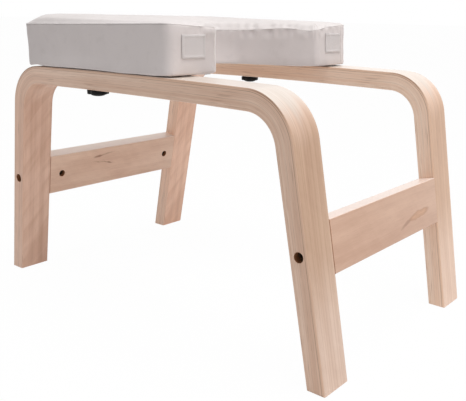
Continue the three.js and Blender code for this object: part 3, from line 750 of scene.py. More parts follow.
def barrel_nut(end, outward):
    """A round nut with the bolt's hole through its side and a driver slot in its seen end."""
    middle = rail_lean(end) @ Matrix.Translation((0, outward * nut_reach, 0))
    low, high = -nut_half_length, nut_half_length
    profile = [(0, low), (nut_radius - nut_ease, low), (nut_radius, low + nut_ease)]
    profile += [(nut_radius, high - nut_ease), (nut_radius - nut_ease, high), (0, high)]
    piece = new_piece("nut", turned(profile, middle @ Matrix.Rotation(math.pi / 2, 4, "Y"), steps=40))
    through = rod(bolt_hole_radius, -nut_bore_half_length, nut_bore_half_length)
    bolt_way = turned(through, middle @ Matrix.Rotation(math.pi / 2, 4, "X"), steps=32)
    slot = bmesh.new()
    mouth = middle @ Matrix.Translation((-end * nut_half_length, 0, 0))
    bmesh.ops.create_cube(slot, size=1, matrix=mouth @ Matrix.Diagonal((*nut_slot, 1)))
    return bored(piece, [bolt_way, slot])


def fluted_dowel(end, outward, up):
    """A dowel with fine flutes along it and chamfered ends, half in the leg and half in the rail."""
    steps = 4 * dowel_flutes
    middle = stool_half_width - strip_width
    half_profile = [(0, dowel_half_length), (dowel_end_share * dowel_radius, dowel_half_length)]
    half_profile += [(dowel_radius, dowel_half_length - dowel_chamfer)]
    profile = [(radius, middle - height) for radius, height in half_profile]
    profile += [(radius, middle + height) for radius, height in reversed(half_profile)]

    def fluted(point, turn):
        """The radius, less in every fourth row of points."""
        return point[0] * (1 if round(turn * steps) % 4 else 1 - dowel_flute_depth / dowel_radius)

    place = along_y(joint_place(end, up), outward)
    return new_piece("dowel", turned(profile, place, steps, radius_at=fluted))


for end_name, end in (("closed_end", -1), ("open_end", 1)):
    for side_name, outward in (("near", -1), ("far", 1)):
        joint_name = end_name + "_" + side_name
        fixings = {"bolt": (frame_bolt(end, outward), blackened, "blackened_steel"),
                   "barrel_nut": (barrel_nut(end, outward), blackened, "blackened_steel"),
                   "upper_dowel": (fluted_dowel(end, outward, dowel_up), beech, "dowel_wood"),
                   "lower_dowel": (fluted_dowel(end, outward, -dowel_up), beech, "dowel_wood")}
        for node_name, (piece, finish, slot_name) in fixings.items():
            piece.name = joint_name + "_" + node_name + "_made"
            piece.data.materials.append(finish)
            eased(piece)
            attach(piece, "stool")
            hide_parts(joint_name + "_" + node_name)

# The cushion's base: a horseshoe of birch plywood that lies on the two hand rails, with a threaded
# steel insert pressed into it for each clamp. Both stay as the frame has them.
board_low, board_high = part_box("cushion_board")
board_ply_count = 9
zinc = steel_material("zinc_plate", shade(196, 198, 200), shade(150, 152, 156), 0.24)


def plywood_material():
    """Raw birch plywood, whose crossed plies show at its edges."""
    material, tree, shader = new_material("birch_plywood")
    place = object_place(tree)
    streaks = mottle(tree, place, (8.0, 140.0, 140.0), 3.0, 0.3)
    height = add_node(tree, "ShaderNodeSeparateXYZ", {"Vector": place}).outputs["Z"]
    ply_height = (board_high.z - board_low.z) / board_ply_count
    above_base = maths(tree, "SUBTRACT", height, board_low.z)
    ply = maths(tree, "FLOOR", maths(tree, "MULTIPLY", above_base, 1 / ply_height))
    crossed = maths(tree, "MULTIPLY", maths(tree, "PINGPONG", ply, 1.0), 0.5)
    tone = maths(tree, "MULTIPLY_ADD", streaks, 0.8, crossed)
    colour = blended(tree, tone, shade(226, 194, 158), shade(170, 126, 88))
    surfaced(tree, shader, colour, streaks, 0.7)
    return material


def refinished(node_name, material):
    """Gives a carried-over frame part its finish."""
    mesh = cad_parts[node_name].data
    mesh.materials.clear()
    mesh.materials.append(material)


refinished("cushion_board", plywood_material())
for side_name in ("near", "far"):
    refinished(side_name + "_threaded_insert", zinc)

# The cushion's foam: one horseshoe block, cut with a low crown and glued to the board, with a hollow
# over each threaded insert. The sewn cover is drawn down over it.
closed_end_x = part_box("cushion_side_band")[0].x
open_end_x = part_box("cushion_side_band")[1].x
closed_corner_radius = 0.019
arm_outer_radius = 0.012
near_inner_radius = 0.006
far_inner_radius = 0.011
mouth_half_width = 0.104
mouth_flare = math.radians(21.4)
throat_radius = 0.0715
throat_x = open_end_x - mouth_half_width / math.tan(mouth_flare)
throat_depth_x = throat_x + throat_radius / math.sin(mouth_flare) - throat_radius
side_bow = 0.0016
tightest_radius = 0.0006
arm_width = stool_half_width - mouth_half_width
hem_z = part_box("cushion_side_band")[0].z
seam_z = hem_z + 0.0562
seam_rise = 0.0062
seam_dip = 0.008
near_seam_dip = 0.0045
far_seam_dip = 0.0048
far_dip_change = (-0.04, 0.06)
far_corner_droop = 0.0040
far_droop_reach = 0.018
far_droop_back = 0.013
crown_height = 0.0086
crown_fall = 0.0052
crown_run = 0.415 * arm_width
crown_power = 2.3
first_puff_share = 0.4
closed_end_puff_share = 0.12
closed_end_reach = 0.07
closed_corner_fall = 0.57
closed_corner_reach = (0.008, 0.037)
first_puff_end = 0.0075
seam_ledge = 0.001
cloth_step = 0.0046
rim_clear_share = 0.65
same_point = 1e-7
far_arm_shift = 0.0075
far_arm_flare = 0.003
arm_end_lift = 0.0012
arm_end_tuck = 0.0016
arm_end_rise = (open_end_x - 0.03, open_end_x - 0.005)
arm_foot_heights = (hem_z + 0.003, hem_z + 0.015)
arm_corner_widths = (0.003, 0.010)
cushion_corners = [
    (throat_x, 0, throat_radius, 0, 36),
    (open_end_x, mouth_half_width, far_inner_radius, 0, 7),
    (open_end_x, stool_half_width, arm_outer_radius, side_bow, 6),
    (closed_end_x, stool_half_width, closed_corner_radius, side_bow, 10),
    (closed_end_x, -stool_half_width, closed_corner_radius, side_bow, 10),
    (open_end_x, -stool_half_width, arm_outer_radius, 0, 6),
    (open_end_x, -mouth_half_width, near_inner_radius, 0, 5),
]


def corner_arcs(inset):
    """The round corners of the cushion's outline, drawn in by an inset."""
    arcs = []
    for i, (x, y, radius, _, steps) in enumerate(cushion_corners):
        here = Vector((x, y))
        into = (here - Vector(cushion_corners[i - 1][:2])).normalized()
        away = (Vector(cushion_corners[(i + 1) % len(cushion_corners)][:2]) - here).normalized()
        turn = math.atan2(into.x * away.y - into.y * away.x, into.dot(away))
        hollow = turn < 0
        reach = radius + inset if hollow else max(radius - inset, tightest_radius)
        depth = -radius if hollow else inset + reach
        inward = Vector((-into.y, into.x))
        centre = here + inward * depth - into * depth * math.tan(turn / 2)
        start = math.atan2(inward.y, inward.x) + (0 if hollow else math.pi)
        angles = [start + turn * k / steps for k in range(steps + 1)]
        arcs.append([centre + reach * Vector((math.cos(a), math.sin(a))) for a in angles])
    return arcs


def following(items):
    """Each item of a closed row with the one after it."""
    return list(zip(items, items[1:] + items[:1]))


side_steps = [max(2, round((after[0] - arc[-1]).length / cloth_step))
              for arc, after in following(corner_arcs(0))]


def cushion_outline(inset):
    """The cushion's outline (x, y), with the same number of points at every inset."""
    outline = []
    for (arc, after), corner, count in zip(following(corner_arcs(inset)), cushion_corners, side_steps):
        outline += arc
        along = (after[0] - arc[-1]).normalized()
        inward = Vector((-along.y, along.x))
        for k in range(1, count):
            share = k / count
            outline.append(arc[-1].lerp(after[0], share) + inward * corner[3] * math.sin(math.pi * share))
    return outline


def smooth_step(value, low, high):
    """0 below a range, 1 above it, and a smooth rise between."""
    share = min(max((value - low) / (high - low), 0), 1)
    return share * share * (3 - 2 * share)


def seam_height(x, y):
    """The cover's seam climbs towards the open end and dips along the head opening. At the far arm's
    inner corner the top droops a little over the band."""
    towards_open_end = (x - closed_end_x) / (open_end_x - closed_end_x) - 0.5
    towards_opening = min(max((stool_half_width - abs(y)) / arm_width, 0), 1)
    towards_opening *= smooth_step(x, closed_end_x, throat_depth_x)
    dip = seam_dip
    droop = 0
    if y < 0:
        dip += (near_seam_dip - seam_dip) * smooth_step(x, 0, open_end_x)
    else:
        dip += (far_seam_dip - seam_dip) * smooth_step(x, *far_dip_change)
        from_corner = math.hypot(x - open_end_x + far_droop_back, y - mouth_half_width) / far_droop_reach
        droop = far_corner_droop * math.exp(-from_corner * from_corner)
    return seam_z + seam_rise * towards_open_end - dip * towards_opening - droop


def crown_at(x, y, inset):
    """The crowned top's height, so far in from the seam."""
    towards_open_end = (x - closed_end_x) / (open_end_x - closed_end_x) - 0.5
    top = seam_z + crown_height - crown_fall * towards_open_end
    puff = first_puff_share - closed_end_puff_share
    puff = closed_end_puff_share + puff * smooth_step(x, closed_end_x, closed_end_x + closed_end_reach)
    share = (1 - puff) * (1 - (1 - min(inset / crown_run, 1)) ** crown_power)
    share += puff * smooth_step(inset, seam_ledge, first_puff_end)
    from_corner = math.hypot(x - closed_end_x, abs(y) - stool_half_width)
    share *= 1 - closed_corner_fall * (1 - smooth_step(from_corner, *closed_corner_reach))
    low = seam_height(x, y)
    return low + (top - low) * share


def arm_shifted(point):
    """The sewn cover lets the far arm a little long, and both arms' ends ride up off the rails."""
    shift = 0
    if point.y > 0:
        shift = far_arm_shift + far_arm_flare * (1 - smooth_step(point.z, hem_z, seam_z))
    at_end = smooth_step(point.x, *arm_end_rise)
    low = 1 - smooth_step(point.z, *arm_foot_heights)
    from_corner = abs(abs(point.y) - mouth_half_width)
    tuck = arm_end_tuck * low * (1 - smooth_step(from_corner, *arm_corner_widths)) * at_end
    return Vector((point.x + shift * smooth_step(point.x, 0, open_end_x),
                   point.y + math.copysign(tuck, point.y), point.z + arm_end_lift * at_end * low))


edge_line = np.array([tuple(point) for point in cushion_outline(0)])


def edge_distances(points):
    """How far each (x, y) point lies from the cushion's outline, and the nearest stretch of it."""
    start = edge_line[None, :, :]
    run = np.roll(edge_line, -1, axis=0)[None, :, :] - start
    to_point = points[:, None, :] - start
    share = np.clip((to_point * run).sum(2) / (run * run).sum(2), 0, 1)
    gaps = np.linalg.norm(to_point - share[:, :, None] * run, axis=2)
    nearest = gaps.argmin(axis=1)
    rows = np.arange(len(points))
    return gaps[rows, nearest], nearest + share[rows, nearest]


def filled_outline(outline, spacing):
    """Triangles that fill an outline, on an even grid of points inside it."""
    grid = []
    row_step = spacing * math.sqrt(3) / 2
    low = np.min([tuple(p) for p in outline], axis=0)
    high = np.max([tuple(p) for p in outline], axis=0)
    for j in range(int((high[1] - low[1]) / row_step) + 1):
        for i in range(int((high[0] - low[0]) / spacing) + 1):
            grid.append((low[0] + (i + j % 2 / 2) * spacing, low[1] + (j + 0.5) * row_step))
    gaps, _ = edge_distances(np.array(grid))
    inset = edge_distances(np.array([tuple(outline[0])]))[0][0]
    spots = [Vector(point) for point, gap in zip(grid, gaps) if gap > inset + rim_clear_share * spacing]
    count = len(outline)
    rim = [(i, (i + 1) % count) for i in range(count)]
    verts, _, faces, sources, _, _ = delaunay_2d_cdt(
        list(outline) + spots, rim, [list(range(count))], 1, same_point)
    return verts, faces, sources


def crowned_block(name, inset, low_z, drop):
    """A closed horseshoe body under the cover: flat below, with the crown above."""
    outline = cushion_outline(inset)
    verts, faces, sources = filled_outline(outline, 2 * cloth_step)
    gaps, _ = edge_distances(np.array([tuple(v) for v in verts]))
    shape = bmesh.new()
    upper = [shape.verts.new((v.x, v.y, crown_at(v.x, v.y, gap) - drop)) for v, gap in zip(verts, gaps)]
    lower = [shape.verts.new((v.x, v.y, low_z)) for v in verts]
    for face in faces:
        shape.faces.new([upper[i] for i in face])
        shape.faces.new([lower[i] for i in reversed(face)])
    rim_of = {source: i for i, group in enumerate(sources) for source in group if source < len(outline)}
    for i in range(len(outline)):
        a, b = rim_of[i], rim_of[(i + 1) % len(outline)]
        shape.faces.new((lower[a], lower[b], upper[b], upper[a]))
    bmesh.ops.recalc_face_normals(shape, faces=shape.faces[:])
    for vertex in shape.verts:
        vertex.co = arm_shifted(vertex.co)
    return new_piece(name, shape)


def foam_material():
    """Soft yellowish foam with open cells."""
    material, tree, shader = new_material("seat_foam")
    place = object_place(tree)
    cells = add_node(tree, "ShaderNodeTexVoronoi", {"Vector": place, "Scale": 700.0}).outputs["Distance"]
    clouds = mottle(tree, place, (30.0, 30.0, 30.0), 3.0)
    colour = blended(tree, clouds, shade(232, 222, 190), shade(212, 198, 160))
    surfaced(tree, shader, colour, cells, 0.95, 0.0004)
    return material


def round_part(node_name):
    """The radius, lower and upper height of a round upright frame part, and the matrix of its axis."""
    low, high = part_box(node_name)
    place = Matrix.Translation(((low.x + high.x) / 2, (low.y + high.y) / 2, 0))
    return (high.x - low.x) / 2, low.z, high.z, place


foam_inset = 0.0055
foam_drop = 0.0045
hollow_clearance = 0.0008
foam = crowned_block("foam_core", foam_inset, board_high.z + pin_gap, foam_drop)
hollows = []
for side_name in ("near", "far"):
    radius, low_z, high_z, place = round_part(side_name + "_threaded_insert")
    hollow = rod(radius + hollow_clearance, low_z, high_z + hollow_clearance)
    hollows.append(turned(hollow, place, steps=32))
bored(foam, hollows)
foam.data.materials.append(foam_material())
eased(foam, crease=50)
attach(foam, "stool")
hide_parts("cushion_foam")

# The cushion's cover: pale grey leathercloth in two parts, a crowned top panel sewn to a tall side
# band. The band is drawn down round the foam and board, turned under and stapled. Padding swells
# the panels between the seam and the hem, and the sewing gathers small puckers beside the seam.
cover_thickness = 0.001
cover_clearance = 0.0002
hem_width = 0.012
bottom_round = 0.0028
draw_in = 0.0007
band_rows = 10
seam_lean_start_share = 0.84
inset_change = (-0.02, 0.08)
closed_seam_inset = 0.0005
open_seam_inset = 0.0013
top_row_insets = (0.0028, 0.0042, 0.0058, 0.0076, 0.0100)
round_rows = 3
hem_rows = 2
start_shrink = 0.0008
swell_moments = 20
swell_cap = 0.0013
inward_share = 0.15
pucker_length = 0.009
pucker_fade = 0.03
pucker_start = (0.0004, 0.004)
pucker_end = (0.004, 0.016)
pucker_depth = 0.0036
pucker_patch = 0.05
pucker_least = 0.35
pucker_rise = (-0.25, 0.35)
patch_row = 3.1
pucker_row = 7.7
outer_calm = 0.78
outer_calm_widths = (stool_half_width - 0.03, stool_half_width - 0.01)
slack_depth = 0.0009
slack_size = (0.045, 0.09)
slack_start = (0.004, 0.014)
slack_end = (0.04, 0.05)
slack_row = 1.3
top_slack_share = 0.8
top_slack_size = 0.07
top_slack_start = (0.006, 0.03)
top_slack_row = 5.5
sag_out = 0.0024
sag_down = 0.0016
sag_heights = (hem_z + 0.004, hem_z + 0.018)
sag_starts = (closed_end_x, closed_end_x + 0.06)
sag_stops = (open_end_x - 0.09, open_end_x)
overhang_widths = (stool_half_width - 0.008, stool_half_width - 0.001)
outside_widths = (stool_half_width - 0.001, stool_half_width + 0.001)
end_sag = 0.0018
end_sag_lengths = (closed_end_x + 0.010, closed_end_x + 0.030)
end_sag_insets = (0.002, 0.006)
stapled_insets = (0.004, 0.009)


def band_row_places():
    """(inset, share of the height from hem to seam) for each ring of the side band, hem first."""
    rows = [(hem_width - (hem_width - bottom_round) * k / hem_rows, 0) for k in range(hem_rows)]
    for k in range(round_rows + 1):
        angle = math.pi / 2 * k / round_rows
        rows.append((bottom_round * (1 - math.sin(angle)), bottom_round * (1 - math.cos(angle))))
    return rows


def cover_mesh():
    """The whole sewn cover as one skin, and the rings of its band. Faces of the band carry index 1."""
    shape = bmesh.new()
    rings = []
    for inset, lift in band_row_places():
        rings.append([(p.x, p.y, hem_z + cover_clearance + lift) for p in cushion_outline(inset)])
    for k in range(1, band_rows + 1):
        share = k / band_rows
        drawn = (draw_in + start_shrink) * math.sin(math.pi * share)
        lean = smooth_step(share, seam_lean_start_share, 1)
        low = hem_z + bottom_round
        ring = []
        for p, q in zip(cushion_outline(drawn + closed_seam_inset * lean),
                        cushion_outline(drawn + open_seam_inset * lean)):
            p = p.lerp(q, smooth_step(p.x, *inset_change))
            ring.append((p.x, p.y, low + (seam_height(p.x, p.y) - low) * share))
        rings.append(ring)
    seam_row = len(rings) - 1
    for inset in top_row_insets:
        rings.append([(p.x, p.y, crown_at(p.x, p.y, inset)) for p in cushion_outline(inset)])
    made = [[shape.verts.new(point) for point in ring] for ring in rings]
    count = len(made[0])
    for row, (lower, upper) in enumerate(zip(made, made[1:])):
        for i in range(count):
            face = shape.faces.new((lower[i], lower[(i + 1) % count], upper[(i + 1) % count], upper[i]))
            face.material_index = 1 if row < seam_row else 0
    outline = cushion_outline(top_row_insets[-1])
    verts, faces, sources = filled_outline(outline, cloth_step)
    gaps, _ = edge_distances(np.array([tuple(v) for v in verts]))
    top = []
    for v, gap, source in zip(verts, gaps, sources):
        on_rim = [s for s in source if s < count]
        if on_rim:
            top.append(made[-1][on_rim[0]])
        else:
            fall = start_shrink * smooth_step(gap, 0, crown_run)
            top.append(shape.verts.new((v.x, v.y, crown_at(v.x, v.y, gap) - fall)))
    for face in faces:
        shape.faces.new([top[i] for i in face])
    bmesh.ops.recalc_face_normals(shape, faces=shape.faces[:])
    held = [vertex for ring in made[:len(band_row_places())] + made[seam_row:seam_row + 1] for vertex in ring]
    shape.verts.index_update()
    seam_ring = [vertex.index for vertex in made[seam_row]]
    return shape, [vertex.index for vertex in held], seam_ring


def swollen(piece, held):
    """Lets the padding swell the cover as cloth, then caps how far any point has moved."""
    start = np.array([tuple(vertex.co) for vertex in piece.data.vertices])
    ways_out = [vertex.normal.copy() for vertex in piece.data.vertices]
    pins = piece.vertex_groups.new(name="held")
    pins.add(held, 1.0, "REPLACE")
    cloth = piece.modifiers.new("padding", "CLOTH")
    for setting, value in (
            ("quality", 6), ("mass", 0.4), ("tension_stiffness", 22), ("compression_stiffness", 22),
            ("shear_stiffness", 10), ("bending_stiffness", 1.5), ("use_pressure", True),
            ("uniform_pressure_force", 4.0), ("vertex_group_mass", "held")):
        setattr(cloth.settings, setting, value)
    cloth.settings.effector_weights.gravity = 0
    cloth.collision_settings.use_collision = False
    cloth.point_cache.frame_start = 1
    cloth.point_cache.frame_end = swell_moments
    for moment in range(1, swell_moments + 1):
        bpy.context.scene.frame_set(moment)
    settled(piece)
    bpy.context.scene.frame_set(1)
    for vertex, place, outwards in zip(piece.data.vertices, start, ways_out):
        swell = (vertex.co - Vector(place)).dot(outwards)
        swell = swell if swell > 0 else swell * inward_share
        vertex.co = Vector(place) + outwards * swell_cap * math.tanh(swell / swell_cap)
    piece.vertex_groups.clear()


def crease_seam(piece, seam_ring):
    """Keeps the seam crisp when the cover's mesh is made finer."""
    shape = bmesh.new()
    shape.from_mesh(piece.data)
    shape.verts.ensure_lookup_table()
    creases = shape.edges.layers.float.new("crease_edge")
    for a, b in following(seam_ring):
        edge = shape.edges.get((shape.verts[a], shape.verts[b]))
        edge[creases] = 1.0
    shape.to_mesh(piece.data)
    shape.free()


def gathered(piece):
    """Small puckers beside the seam, fewer on the outer sides, and slow slack waves in the band."""
    mesh = piece.data
    places = np.array([tuple(vertex.co[:2]) for vertex in mesh.vertices])
    gaps, stretches = edge_distances(places)
    normals = [vertex.normal.copy() for vertex in mesh.vertices]
    for vertex, gap, stretch, normal in zip(mesh.vertices, gaps, stretches, normals):
        x, y, z = vertex.co
        below = seam_height(x, y) - z
        from_seam = math.hypot(max(below, 0), gap)
        along = stretch * cloth_step
        near_seam = smooth_step(from_seam, *pucker_start) * (1 - smooth_step(from_seam, *pucker_end))
        patch = smooth_step(noise.noise(Vector((along / pucker_patch, patch_row, 0))), *pucker_rise)
        patch = pucker_least + (1 - pucker_least) * patch
        pucker = noise.noise(Vector((along / pucker_length, from_seam / pucker_fade, pucker_row)))
        calm = outer_calm * smooth_step(abs(y), *outer_calm_widths)
        move = pucker_depth * (1 - calm) * pucker * near_seam * patch
        band = smooth_step(below, *slack_start) * (1 - smooth_step(below, *slack_end))
        slack = noise.noise(Vector((along / slack_size[0], z / slack_size[1], slack_row)))
        move += slack_depth * slack * band
        swell = noise.noise(Vector((x / top_slack_size, y / top_slack_size, top_slack_row)))
        move += slack_depth * top_slack_share * swell * smooth_step(gap, *top_slack_start)
        vertex.co += normal * move
        foot = 1 - smooth_step(z, *sag_heights)
        overhang = smooth_step(abs(y), *overhang_widths)
        overhang *= smooth_step(x, *sag_starts) * (1 - smooth_step(x, *sag_stops))
        vertex.co.y += math.copysign(sag_out * overhang * foot, y)
        outside = smooth_step(abs(vertex.co.y), *outside_widths)
        vertex.co.z -= sag_down * overhang * foot * outside
        at_end = (1 - smooth_step(x, *end_sag_lengths)) * (1 - smooth_step(gap, *end_sag_insets))
        vertex.co.z -= end_sag * at_end * foot


def one_part(name, whole, index):
    """Takes the top panel (0) or the band (1) out of the sewn cover, and gives it its thickness."""
    shape = bmesh.new()
    shape.from_mesh(whole.data)
    bmesh.ops.delete(shape, geom=[f for f in shape.faces if f.material_index != index], context="FACES")
    for face in shape.faces:
        face.material_index = 0
    part = new_piece(name, shape)
    part.data.shade_smooth()
    wall = part.modifiers.new("cloth thickness", "SOLIDIFY")
    wall.thickness = cover_thickness
    wall.offset = -1.0
    return settled(part)


def leathercloth_material(name, pale, deep):
    """Coated cloth with a fine pebbled grain, a soft sheen and faint handling marks."""
    material, tree, shader = new_material(name)
    place = object_place(tree)
    clouds = mottle(tree, place, (14.0, 14.0, 14.0), 4.0)
    marks = mottle(tree, place, (90.0, 90.0, 90.0), 3.0)
    colour = blended(tree, spread(tree, clouds, 0.35, 0.65), pale, deep)
    colour = blended(tree, spread(tree, marks, 0.55, 0.75, 0.0, 0.12), colour, shade(186, 178, 174))
    pebble = add_node(tree, "ShaderNodeTexVoronoi", {"Vector": place, "Scale": 1100.0},
                      feature="SMOOTH_F1").outputs["Distance"]
    rough = spread(tree, marks, 0.3, 0.7, 0.5, 0.62)
    surfaced(tree, shader, colour, pebble, rough, 0.00008, shine=0.35, relief=0.5)
    feed(tree, shader.inputs, {"Sheen Weight": 0.15})
    return material


top_cloth = leathercloth_material("pale_grey_leathercloth", shade(220, 213, 211), shade(214, 207, 205))
# The band's cloth is a touch darker and pinker than the top's: painted shade on the cushion's sides.
band_cloth_painted_shade = leathercloth_material("band_leathercloth_painted_shade", shade(220, 211, 209), shade(214, 205, 203))
cover_shape, held_points, seam_points = cover_mesh()
cover = new_piece("cover", cover_shape)
swollen(cover, held_points)
crease_seam(cover, seam_points)
finer = cover.modifiers.new("finer", "SUBSURF")
finer.levels = 1
finer.render_levels = 1
settled(cover)
gathered(cover)
insets, _ = edge_distances(np.array([tuple(vertex.co[:2]) for vertex in cover.data.vertices]))
for vertex, inset in zip(cover.data.vertices, insets):
    stapled = smooth_step(inset, *stapled_insets) if vertex.co.z < board_low.z else 0
    vertex.co = arm_shifted(vertex.co).lerp(vertex.co, stapled)

top_panel = one_part("cover_top_panel", cover, 0)
side_band = one_part("cover_side_band", cover, 1)
for part, node_name, cloth in ((top_panel, "cushion_top_panel", top_cloth),
                               (side_band, "cushion_side_band", band_cloth_painted_shade)):
    part.data.materials.append(cloth)
    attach(part, "stool")
    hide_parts(node_name)

# The cover's sewing: the folded lip where the top panel meets the band, a fine welt down each of the
# band's closing seams on the arms' ends, a bar tack of thread at the near arm's foot, and the steel
# staples that hold the hem under the board.
lip_radius = 0.0004
lip_bedding = 0.0001
beyond_end_x = open_end_x + 0.05
closing_radius = {"near": 0.0013, "far": 0.0005}
closing_seams = {"near": (-0.1060,), "far": (0.168, 0.1765)}
closing_below_seam = 0.0015
closing_steps = 24
tack_y = -0.1118
tack_low = 0.0018
tack_step = 0.0017
tack_count = 6
tack_line = 0.002
tack_spacing = 0.01
tack_thread = (0.0034, 0.0009, 0.00028)
staple_inset = 0.0075
staple_depth = 0.0001
staple_spacing = 0.034
staple_wire = (0.011, 0.004, 0.0003)


def cord_tree():
    """A round cord along a line of edges."""
    tree = new_tree("sewn cord", {"Radius": "NodeSocketFloat", "Sides": "NodeSocketInt",
                                  "Finish": "NodeSocketMaterial"})
    given = tree.nodes.new("NodeGroupInput").outputs
    line = add_node(tree, "GeometryNodeMeshToCurve", {"Mesh": given["Geometry"]})
    section = add_node(tree, "GeometryNodeCurvePrimitiveCircle", {
        "Resolution": given["Sides"], "Radius": given["Radius"]})
    cord = add_node(tree, "GeometryNodeCurveToMesh", {
        "Curve": line.outputs["Curve"], "Profile Curve": section.outputs["Curve"], "Fill Caps": True})
    smooth = add_node(tree, "GeometryNodeSetShadeSmooth", {"Geometry": cord.outputs["Mesh"]})
    finish_tree(tree, smooth.outputs["Geometry"], given["Finish"])
    return tree


def stitch_tree():
    """Stitches or staples along a line of edges. Each is a wire through four points, two at either
    side of its middle, and the end ones dip into the cloth."""
    tree = new_tree("stitches", {
        "Spacing": "NodeSocketFloat", "Reach": "NodeSocketFloat", "Dip": "NodeSocketFloat",
        "Wire radius": "NodeSocketFloat", "Finish": "NodeSocketMaterial"})
    given = tree.nodes.new("NodeGroupInput").outputs
    off_middle = maths(tree, "SUBTRACT", tree.nodes.new("GeometryNodeInputIndex").outputs["Index"], 1.5)
    side = maths(tree, "SUBTRACT", maths(tree, "GREATER_THAN", off_middle, 0.0), 0.5)
    at_end = maths(tree, "GREATER_THAN", maths(tree, "ABSOLUTE", off_middle), 1.0)
    along = maths(tree, "MULTIPLY", side, given["Reach"])
    depth = maths(tree, "SUBTRACT", 0.0, maths(tree, "MULTIPLY", at_end, given["Dip"]))
    corner = add_node(tree, "ShaderNodeCombineXYZ", {"X": along, "Z": depth}).outputs["Vector"]
    four = add_node(tree, "GeometryNodeMeshLine", {"Count": 4}).outputs["Mesh"]
    bent = add_node(tree, "GeometryNodeSetPosition", {"Geometry": four, "Position": corner})
    bare = add_node(tree, "GeometryNodeMeshToCurve", {"Mesh": bent.outputs["Geometry"]})
    round_off = maths(tree, "MULTIPLY", given["Wire radius"], 2.0)
    soft = add_node(tree, "GeometryNodeFilletCurve", {
        "Curve": bare.outputs["Curve"], "Radius": round_off, "Count": 2}, mode="POLY")
    section = add_node(tree, "GeometryNodeCurvePrimitiveCircle", {
        "Resolution": 6, "Radius": given["Wire radius"]})
    wire = add_node(tree, "GeometryNodeCurveToMesh", {
        "Curve": soft.outputs["Curve"], "Profile Curve": section.outputs["Curve"], "Fill Caps": True})
    line = add_node(tree, "GeometryNodeMeshToCurve", {"Mesh": given["Geometry"]})
    spots = add_node(tree, "GeometryNodeCurveToPoints", {
        "Curve": line.outputs["Curve"], "Length": given["Spacing"]}, mode="LENGTH").outputs
    outwards = add_node(tree, "GeometryNodeInputNamedAttribute", {"Name": "outwards"},
                        data_type="FLOAT_VECTOR").outputs["Attribute"]
    raised = add_node(tree, "FunctionNodeAlignRotationToVector", {"Vector": outwards}, axis="Z")
    laid = add_node(tree, "FunctionNodeAlignRotationToVector", {
        "Rotation": raised.outputs["Rotation"], "Vector": spots["Tangent"]}, axis="X", pivot_axis="Z")
    row = add_node(tree, "GeometryNodeInstanceOnPoints", {
        "Points": spots["Points"], "Instance": wire.outputs["Mesh"], "Rotation": laid.outputs["Rotation"]})
    smooth = add_node(tree, "GeometryNodeSetShadeSmooth", {"Geometry": row.outputs["Instances"]})
    finish_tree(tree, smooth.outputs["Geometry"], given["Finish"])
    return tree


def stitched(name, shape, outwards, spacing, wire, finish):
    """Stitches along a line's edges. outwards holds the cloth's way out at each of its points, and
    wire half the length of a stitch, how deep its ends dip and its own radius."""
    carrier = new_piece(name, shape)
    ways = carrier.data.attributes.new("outwards", "FLOAT_VECTOR", "POINT")
    for way, outward in zip(ways.data, outwards):
        way.vector = outward
    reach, dip, radius = wire
    return grown(carrier, thread_row, {
        "Spacing": spacing, "Reach": reach, "Dip": dip, "Wire radius": radius, "Finish": finish})


def surface_of(piece):
    """A piece's faces, to look for points on."""
    mesh = piece.data
    return BVHTree.FromPolygons([v.co[:] for v in mesh.vertices], [p.vertices[:] for p in mesh.polygons])


def on_end_face(surface, y, z):
    """The point on an arm's end, seen from the open end, and the way out of the surface there."""
    spot, normal, _, _ = surface.ray_cast(Vector((beyond_end_x, y, z)), Vector((-1, 0, 0)))
    return spot, normal if normal.x > 0 else -normal


def thread_material():
    """Pale twisted polyester thread."""
    material, tree, shader = new_material("pale_polyester_thread")
    twist = mottle(tree, object_place(tree), (2500.0, 2500.0, 2500.0), 1.0)
    colour = blended(tree, twist, shade(232, 228, 226), shade(206, 200, 198))
    surfaced(tree, shader, colour, twist, 0.6, 0.00005)
    return material


cover_surface = surface_of(cover)
sewn_cord = cord_tree()
thread_row = stitch_tree()
thread = thread_material()


def seam_points_on_cover():
    """The seam's line on the finished cover, all the way round."""
    shape = bmesh.new()
    shape.from_mesh(cover.data)
    rim = [edge for edge in shape.edges if len({face.material_index for face in edge.link_faces}) > 1]
    start = rim[0].verts[0]
    loop, edge = [start], rim[0]
    on_rim = set(rim)
    here = edge.other_vert(start)
    while here != start:
        loop.append(here)
        edge = next(e for e in here.link_edges if e in on_rim and e != edge)
        here = edge.other_vert(here)
    points = [vertex.co - vertex.normal * lip_bedding for vertex in loop]
    shape.free()
    return points


# The near welt's cloth is whiter than the band: a painted highlight along the arm's inner corner.
welt_cloth_and_painted_highlight = {
    "near": leathercloth_material("welt_leathercloth_painted_highlight", shade(244, 238, 236), shade(238, 232, 230)),
    "far": band_cloth_painted_shade}
# The seam's lip wears that whiter cloth too: a painted highlight along the seam, in place of the shade
# beneath the lip.
lip = grown(new_piece("cover_seam_lip", line_mesh(seam_points_on_cover(), True)), sewn_cord, {
    "Radius": lip_radius, "Sides": 8, "Finish": welt_cloth_and_painted_highlight["near"]})
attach(lip, "stool")
bpy.data.objects.remove(cover)

for side_name, places in closing_seams.items():
    for number, y in enumerate(places):
        low, high = hem_z + bottom_round, seam_height(open_end_x, y) - closing_below_seam
        heights = [low + (high - low) * k / closing_steps for k in range(closing_steps + 1)]
        points = [on_end_face(cover_surface, y, height)[0] for height in heights]
        welt = grown(new_piece(f"{side_name}_arm_closing_seam_{number}", line_mesh(points)), sewn_cord, {
            "Radius": closing_radius[side_name], "Sides": 8, "Finish": welt_cloth_and_painted_highlight[side_name]})
        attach(welt, "stool")

